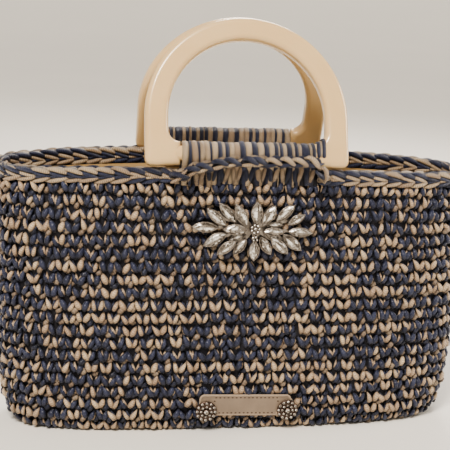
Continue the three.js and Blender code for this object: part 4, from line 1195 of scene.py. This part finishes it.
def marquise_gem(name, length, width, height):
    """One faceted stone, table up."""
    points = [(x, y, rise * height) for share, rise in GEM_LEVELS for x, y in marquise(length, width, share)]
    faces = [tuple(reversed(range(GEM_CORNERS))), *band_faces(len(GEM_LEVELS), GEM_CORNERS)]
    glints = [GLINTS["base"]]
    bright_side = gem_random.random() < 0.5
    for face in range(len(faces) - 1):
        band, side = divmod(face, GEM_CORNERS)
        if band < BEVEL_BANDS:
            kind = "bevel"
        elif gem_random.random() < SPARK_CHANCE:
            kind = "spark"
        else:
            kind = "crown_lit" if (side < GEM_STEPS) == bright_side else "crown"
        glints.append(gem_random.uniform(*GLINTS[kind]))
    top = len(points) - GEM_CORNERS
    ridge = [top, *range(len(points), len(points) + GEM_STEPS - 1), top + GEM_STEPS]
    points += [(points[top + step][0], 0, height * GEM_RIDGE) for step in range(1, GEM_STEPS)]
    gleam = gem_random.randrange(*GLEAM_FIRST)
    for step in range(GEM_STEPS):
        low = [top + step, top + step + 1, ridge[step + 1], ridge[step]]
        high = [ridge[step], ridge[step + 1], top + (GEM_CORNERS - step - 1) % GEM_CORNERS,
                top + (GEM_CORNERS - step) % GEM_CORNERS]
        for half, corners in ((True, low), (False, high)):
            faces.append(tuple(dict.fromkeys(corners)))
            kind = "table"
            if half == bright_side:
                kind = "gleam" if gleam <= step < gleam + GLEAM_STEPS else "table_lit"
            glints.append(gem_random.uniform(*GLINTS[kind]))
    return faceted_mesh(name, points, faces, glints)


crystal = crystal_material("foil_backed_crystal")
stone_nodes = sorted(node for node in frame["nodes"] if node.startswith("brooch_stone_"))
gem_places = {node: gem_place(node) for node in stone_nodes}
for node, (placed, length, width, height) in gem_places.items():
    gem_data = marquise_gem(node.replace("brooch_stone", "crystal"), length, width, height)
    gem_data.transform(placed)
    gem_data.materials.append(crystal)
    gem = linked(gem_data.name, gem_data)
    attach(gem, "bag")
    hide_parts(node)


# Brooch setting
# Dark silver cups and spokes carry the stones. A wire runs round each stone with a claw at both tips and
# both flanks, and small round stones fill the middle and a cluster just under it.
WIRE_RADIUS = 0.00042
WIRE_OUT = 0.4
WIRE_SIDES = 5
CLAW_LENGTH = 0.0016
CLAW_RADIUS = 0.00055
CLAW_INSET = 0.0005
SILVER = (0.500, 0.450, 0.400, 1)
SILVER_DARK = (0.120, 0.100, 0.085, 1)
BRONZE = (0.180, 0.125, 0.100, 1)
BRONZE_DARK = (0.022, 0.014, 0.011, 1)
METAL_VALUES = {"Metallic": 0.9, "Roughness": 0.34}
BROOCH_X = 0.0058
BROOCH_DROP = 0.0409
MIDDLE_STONES = 7
MIDDLE_REACH = 2.9
# Small stones in mm: right, up and out from the brooch's middle, and the radius
SMALL_STONES = [
    (0.0, 0.0, 0.0, 1.5),
    *((MIDDLE_REACH * math.cos(turn), MIDDLE_REACH * math.sin(turn), 0.0, 1.1)
      for turn in round_steps(MIDDLE_STONES)),
    (-1.6, -6.6, 0.0, 1.0), (0.7, -6.2, 0.0, 1.0), (-0.9, -8.4, 0.0, 0.9), (1.4, -8.2, 0.0, 0.9),
]
ROUND_STONE = [(0.70, 0.0), (1.0, 0.30), (0.82, 0.62), (0.50, 0.85)]
ROUND_CUP = [(0.90, -0.50), (1.14, -0.10), (1.16, 0.30), (1.04, 0.42), (0.94, 0.20)]
ROUND_SIDES = 8
ROUND_LOOSENESS = 0.03
ROUND_SEED = 2


def turned_shape(name, profile, closed):
    """A faceted round shape from rows of radius and height, open at the top or closed."""
    points = [(radius * math.cos(turn), radius * math.sin(turn), height)
              for radius, height in profile for turn in round_steps(ROUND_SIDES)]
    faces = [*band_faces(len(profile), ROUND_SIDES), tuple(reversed(range(ROUND_SIDES)))]
    if closed:
        faces.append(tuple(range(len(points) - ROUND_SIDES, len(points))))
    # Each facet gets a painted glint, which only the crystal material shows
    glints = [gem_random.uniform(*GLINTS["round"]) for _ in faces]
    return bpy.data.objects.new(name, faceted_mesh(name, points, faces, glints))


def set_stones(name, place, stones, metal):
    """Small round stones and their metal cups on a plane whose Z faces out, as two pieces."""
    points = [loop_at(place @ Vector((right * MM, up * MM, out * MM)), place.to_euler(), (radius * MM, ) * 3)
              for right, up, out, radius in stones]
    for part, shelf, material in (("stones", stone_shelf, crystal), ("cups", cup_shelf, metal)):
        made = grown(name + "_" + part, points, shelf, ROUND_LOOSENESS, ROUND_SEED, material)
        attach(made, "bag")


aged_silver = grained_material("aged_silver", SILVER_DARK, SILVER, 420.0, 0.3, 0.0003, METAL_VALUES)
dark_bronze = grained_material("dark_bronze", BRONZE_DARK, BRONZE, 420.0, 0.3, 0.0003, METAL_VALUES)
stone_shelf = shape_shelf("round_stone_shapes", [turned_shape("round_stone", ROUND_STONE, True)])
cup_shelf = shape_shelf("round_cup_shapes", [turned_shape("round_cup", ROUND_CUP, False)])
setting_node = frame["nodes"]["brooch_setting"]
setting_node.data.materials.clear()
setting_node.data.materials.append(aged_silver)
wires = bmesh.new()
for placed, length, width, height in gem_places.values():
    girdle = [Vector((x, y, GEM_GIRDLE * height)) for x, y in marquise(length, width, 1.0)]
    rings = []
    for index, point in enumerate(girdle):
        ahead = (girdle[(index + 1) % len(girdle)] - girdle[index - 1]).normalized()
        side = Vector((ahead.y, -ahead.x, 0))
        rings.append([wires.verts.new(placed @ (
            point + WIRE_RADIUS * (WIRE_OUT + math.cos(turn)) * side
            + WIRE_RADIUS * math.sin(turn) * Vector((0, 0, 1)))) for turn in round_steps(WIRE_SIDES)])
    for index, ring in enumerate(rings):
        beyond = rings[(index + 1) % len(rings)]
        for step in range(WIRE_SIDES):
            after = (step + 1) % WIRE_SIDES
            wires.faces.new((ring[step], beyond[step], beyond[after], ring[after]))
    for index in range(0, GEM_CORNERS, GEM_STEPS // 2):
        claw = bmesh.ops.create_icosphere(wires, subdivisions=1, radius=CLAW_RADIUS)["verts"]
        inward = -girdle[index].normalized()
        for vert in claw:
            vert.co.z *= CLAW_LENGTH / (2 * CLAW_RADIUS)
            vert.co += girdle[index] + CLAW_INSET * inward + Vector((0, 0, CLAW_LENGTH / 2))
            vert.co = placed @ vert.co
bmesh.ops.recalc_face_normals(wires, faces=wires.faces[:])
for face in wires.faces:
    face.smooth = True
wire_data = bpy.data.meshes.new("brooch_wires")
wires.to_mesh(wire_data)
wires.free()
wire_data.materials.append(aged_silver)
brooch_wires = linked("brooch_wires", wire_data)
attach(brooch_wires, "bag")
brooch_middle = Vector((BROOCH_X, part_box("brooch_setting")[0].y, BAG_HEIGHT - BROOCH_DROP))
brooch_place = Matrix.Translation(brooch_middle) @ Matrix.Rotation(QUARTER_TURN, 4, "X")
set_stones("brooch_middle", brooch_place, SMALL_STONES, aged_silver)


# Tag
# A strip of tan leather lies flat low on the front. Its edge is raised and paler, a row of punched holes
# runs inside it, and its middle is bare.
TAG_WIDTH = 0.0715
TAG_HEIGHT = 0.0176
TAG_THICKNESS = 0.0015
TAG_CORNER = 0.004
TAG_CORNER_STEPS = 10
TAG_X = 0.007
TAG_Z = 0.0218
TAG_ROLL = math.radians(1.3)
TAG_EDGE_ROUND = 0.0004
TAG_BORDER = 0.0011
TAG_SINK = 0.00025
TAG_FACE = TAG_THICKNESS - TAG_SINK
TAG_FACE_INSET = 0.0036
# Rows of how far in and how high a level of the tag lies, the raised edge's levels first
TAG_LEVELS = [
    (TAG_EDGE_ROUND, 0), (0, TAG_EDGE_ROUND), (0, TAG_THICKNESS - TAG_EDGE_ROUND),
    (TAG_EDGE_ROUND, TAG_THICKNESS), (TAG_BORDER, TAG_THICKNESS), (TAG_BORDER + TAG_EDGE_ROUND, TAG_FACE),
    (TAG_FACE_INSET, TAG_FACE),
]
TAG_EDGE_LEVELS = 5
TAG_BULGE_AT = (0.25, 0.5, 0.75)
LEATHER = (0.203, 0.154, 0.116, 1)
LEATHER_PALE = (0.385, 0.297, 0.217, 1)
HOLE_SHADE_DARK = (0.055, 0.032, 0.020, 1)
HOLE_PROFILE = [(0.85, -0.6), (0.85, 0.02), (0.6, 0.12)]
HOLE_SIZE = (1.0 * MM, 0.72 * MM, 1.0 * MM)
HOLE_LOOSENESS = 0.1
HOLE_SEED = 6
HOLE_PITCH_MM = 3.2
# Rows of holes, their first and last place in mm from the tag's middle
HOLE_ROWS = [
    ((-23.0, 6.3), (24.5, 6.3)), ((-19.8, -6.4), (21.5, -6.4)), ((-24.0, 3.4), (-24.0, 3.4)),
    ((25.3, 3.4), (25.3, 3.4)),
]


def depth_at(z):
    """How far the wall stands out at the tag's middle."""
    half_width, half_depth, power = wall_at(z)
    return half_depth * (1 - abs(TAG_X / half_width) ** power) ** (1 / power)


tag_low, tag_high = TAG_Z - TAG_HEIGHT / 2, TAG_Z + TAG_HEIGHT / 2
tag_low_y, tag_high_y = depth_at(tag_low), depth_at(tag_high)
tag_bulge = max(depth_at(blend_of(tag_low, tag_high, part)) - blend_of(tag_low_y, tag_high_y, part)
                for part in TAG_BULGE_AT)
tag_place = (
    Matrix.Translation((TAG_X, -(tag_low_y + tag_high_y) / 2 - tag_bulge - PIECE_GAP, TAG_Z))
    @ Matrix.Rotation(QUARTER_TURN + math.atan2(tag_high_y - tag_low_y, TAG_HEIGHT), 4, "X")
    @ Matrix.Rotation(-TAG_ROLL, 4, "Z"))


def tag_ring(inset, z):
    right, up = TAG_WIDTH / 2 - TAG_CORNER, TAG_HEIGHT / 2 - TAG_CORNER
    corners = ((right, -up, -1), (right, up, 0), (-right, up, 1), (-right, -up, 2))
    return [Vector((x, y, z)) for across, rise, turn in corners
            for x, y in arc_points(across, rise, TAG_CORNER - inset, turn, turn + 1, TAG_CORNER_STEPS)]


tag = lofted("leather_tag", [tag_ring(inset, z) for inset, z in TAG_LEVELS])
tag_count = len(tag.data.vertices)
edge_count = tag_count * TAG_EDGE_LEVELS // len(TAG_LEVELS)
tag_edge = tag.data.attributes.new("edge", "FLOAT", "POINT")
tag_edge.data.foreach_set("value", [float(index < edge_count) for index in range(tag_count)])
tag.data.transform(tag_place)
tag_material, tree, surface = new_material("tan_leather", {"Roughness": 0.5})
blotch = textured(tree, "Noise", {"Scale": 120.0, "Detail": 3.0}).outputs[0]
tag_colour = mixed(tree, reckoned(tree, "MULTIPLY", blotch, 0.6), LEATHER, LEATHER_PALE)
border = add_node(tree, "ShaderNodeAttribute", attribute_name="edge").outputs["Fac"]
tag_colour = mixed(tree, reckoned(tree, "MULTIPLY", border, 0.75), tag_colour, LEATHER_PALE)
grain = textured(tree, "Voronoi", {"Scale": 2200.0}).outputs["Distance"]
covered(tree, surface, tag_colour, grain, 0.35, 0.0003)
tag.data.materials.append(tag_material)
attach(tag, "bag")
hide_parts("tag")

# Painted shade: each punched hole is a small dark disc on the tag's face, coloured for the shade inside the
# hole
hole_material, tree, surface = new_material("punched_hole", {"Roughness": 0.8})
grain = reckoned(tree, "MULTIPLY", textured(tree, "Noise", {"Scale": 900.0}).outputs[0], 0.4)
covered(tree, surface, mixed(tree, grain, HOLE_SHADE_DARK, LEATHER))
hole_shelf = shape_shelf("hole_shapes", [turned_shape("punched_hole", HOLE_PROFILE, True)])
hole_points = []
for first, last in HOLE_ROWS:
    start, stop = Vector(first), Vector(last)
    holes = max(1, round((stop - start).length / HOLE_PITCH_MM) + 1)
    for index in range(holes):
        spot = start.lerp(stop, index / max(1, holes - 1))
        hole_points.append(loop_at(
            tag_place @ Vector((spot.x * MM, spot.y * MM, TAG_FACE)), tag_place.to_euler(), HOLE_SIZE))
tag_holes = grown("tag_holes", hole_points, hole_shelf, HOLE_LOOSENESS, HOLE_SEED, hole_material)
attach(tag_holes, "bag")


# Tag rosettes
# Over each end of the tag sits a round of clear stones in dark metal cups: one in the middle, a ring of
# eight and an outer ring of twelve.
ROSETTE_RADIUS = 0.0082
ROSETTE_PLATE = 0.0013
ROSETTE_SIDES = 40
ROSETTE_LEVELS = [
    (0.94 * ROSETTE_RADIUS, 0), (ROSETTE_RADIUS, 0.3 * ROSETTE_PLATE),
    (0.97 * ROSETTE_RADIUS, 0.8 * ROSETTE_PLATE), (0.6 * ROSETTE_RADIUS, ROSETTE_PLATE),
]
# Rings of stones: how many, then in mm how far from the middle, how far out and the radius
ROSETTE_RINGS = [(1, 0.0, 0.9, 2.0), (8, 4.0, 0.5, 1.1), (12, 6.9, 0.1, 1.3)]
ROSETTES = [
    {"name": "rosette_left", "node": "tag_rosette_left", "right": -0.422, "up": -0.261},
    {"name": "rosette_right", "node": "tag_rosette_right", "right": 0.462, "up": -0.193},
]
for row in ROSETTES:
    rosette_place = tag_place @ Matrix.Translation((
        row["right"] * TAG_WIDTH, row["up"] * TAG_HEIGHT, TAG_THICKNESS + PIECE_GAP))
    plate = lofted(row["name"] + "_plate", [
        [Vector((reach * math.cos(turn), reach * math.sin(turn), z)) for turn in round_steps(ROSETTE_SIDES)]
        for reach, z in ROSETTE_LEVELS])
    plate.data.transform(rosette_place)
    plate.data.materials.append(dark_bronze)
    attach(plate, "bag")
    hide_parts(row["node"])
    stones = [(reach * math.cos(turn), reach * math.sin(turn), out + ROSETTE_PLATE / MM, radius)
              for count, reach, out, radius in ROSETTE_RINGS for turn in round_steps(count)]
    set_stones(row["name"], rosette_place, stones, dark_bronze)
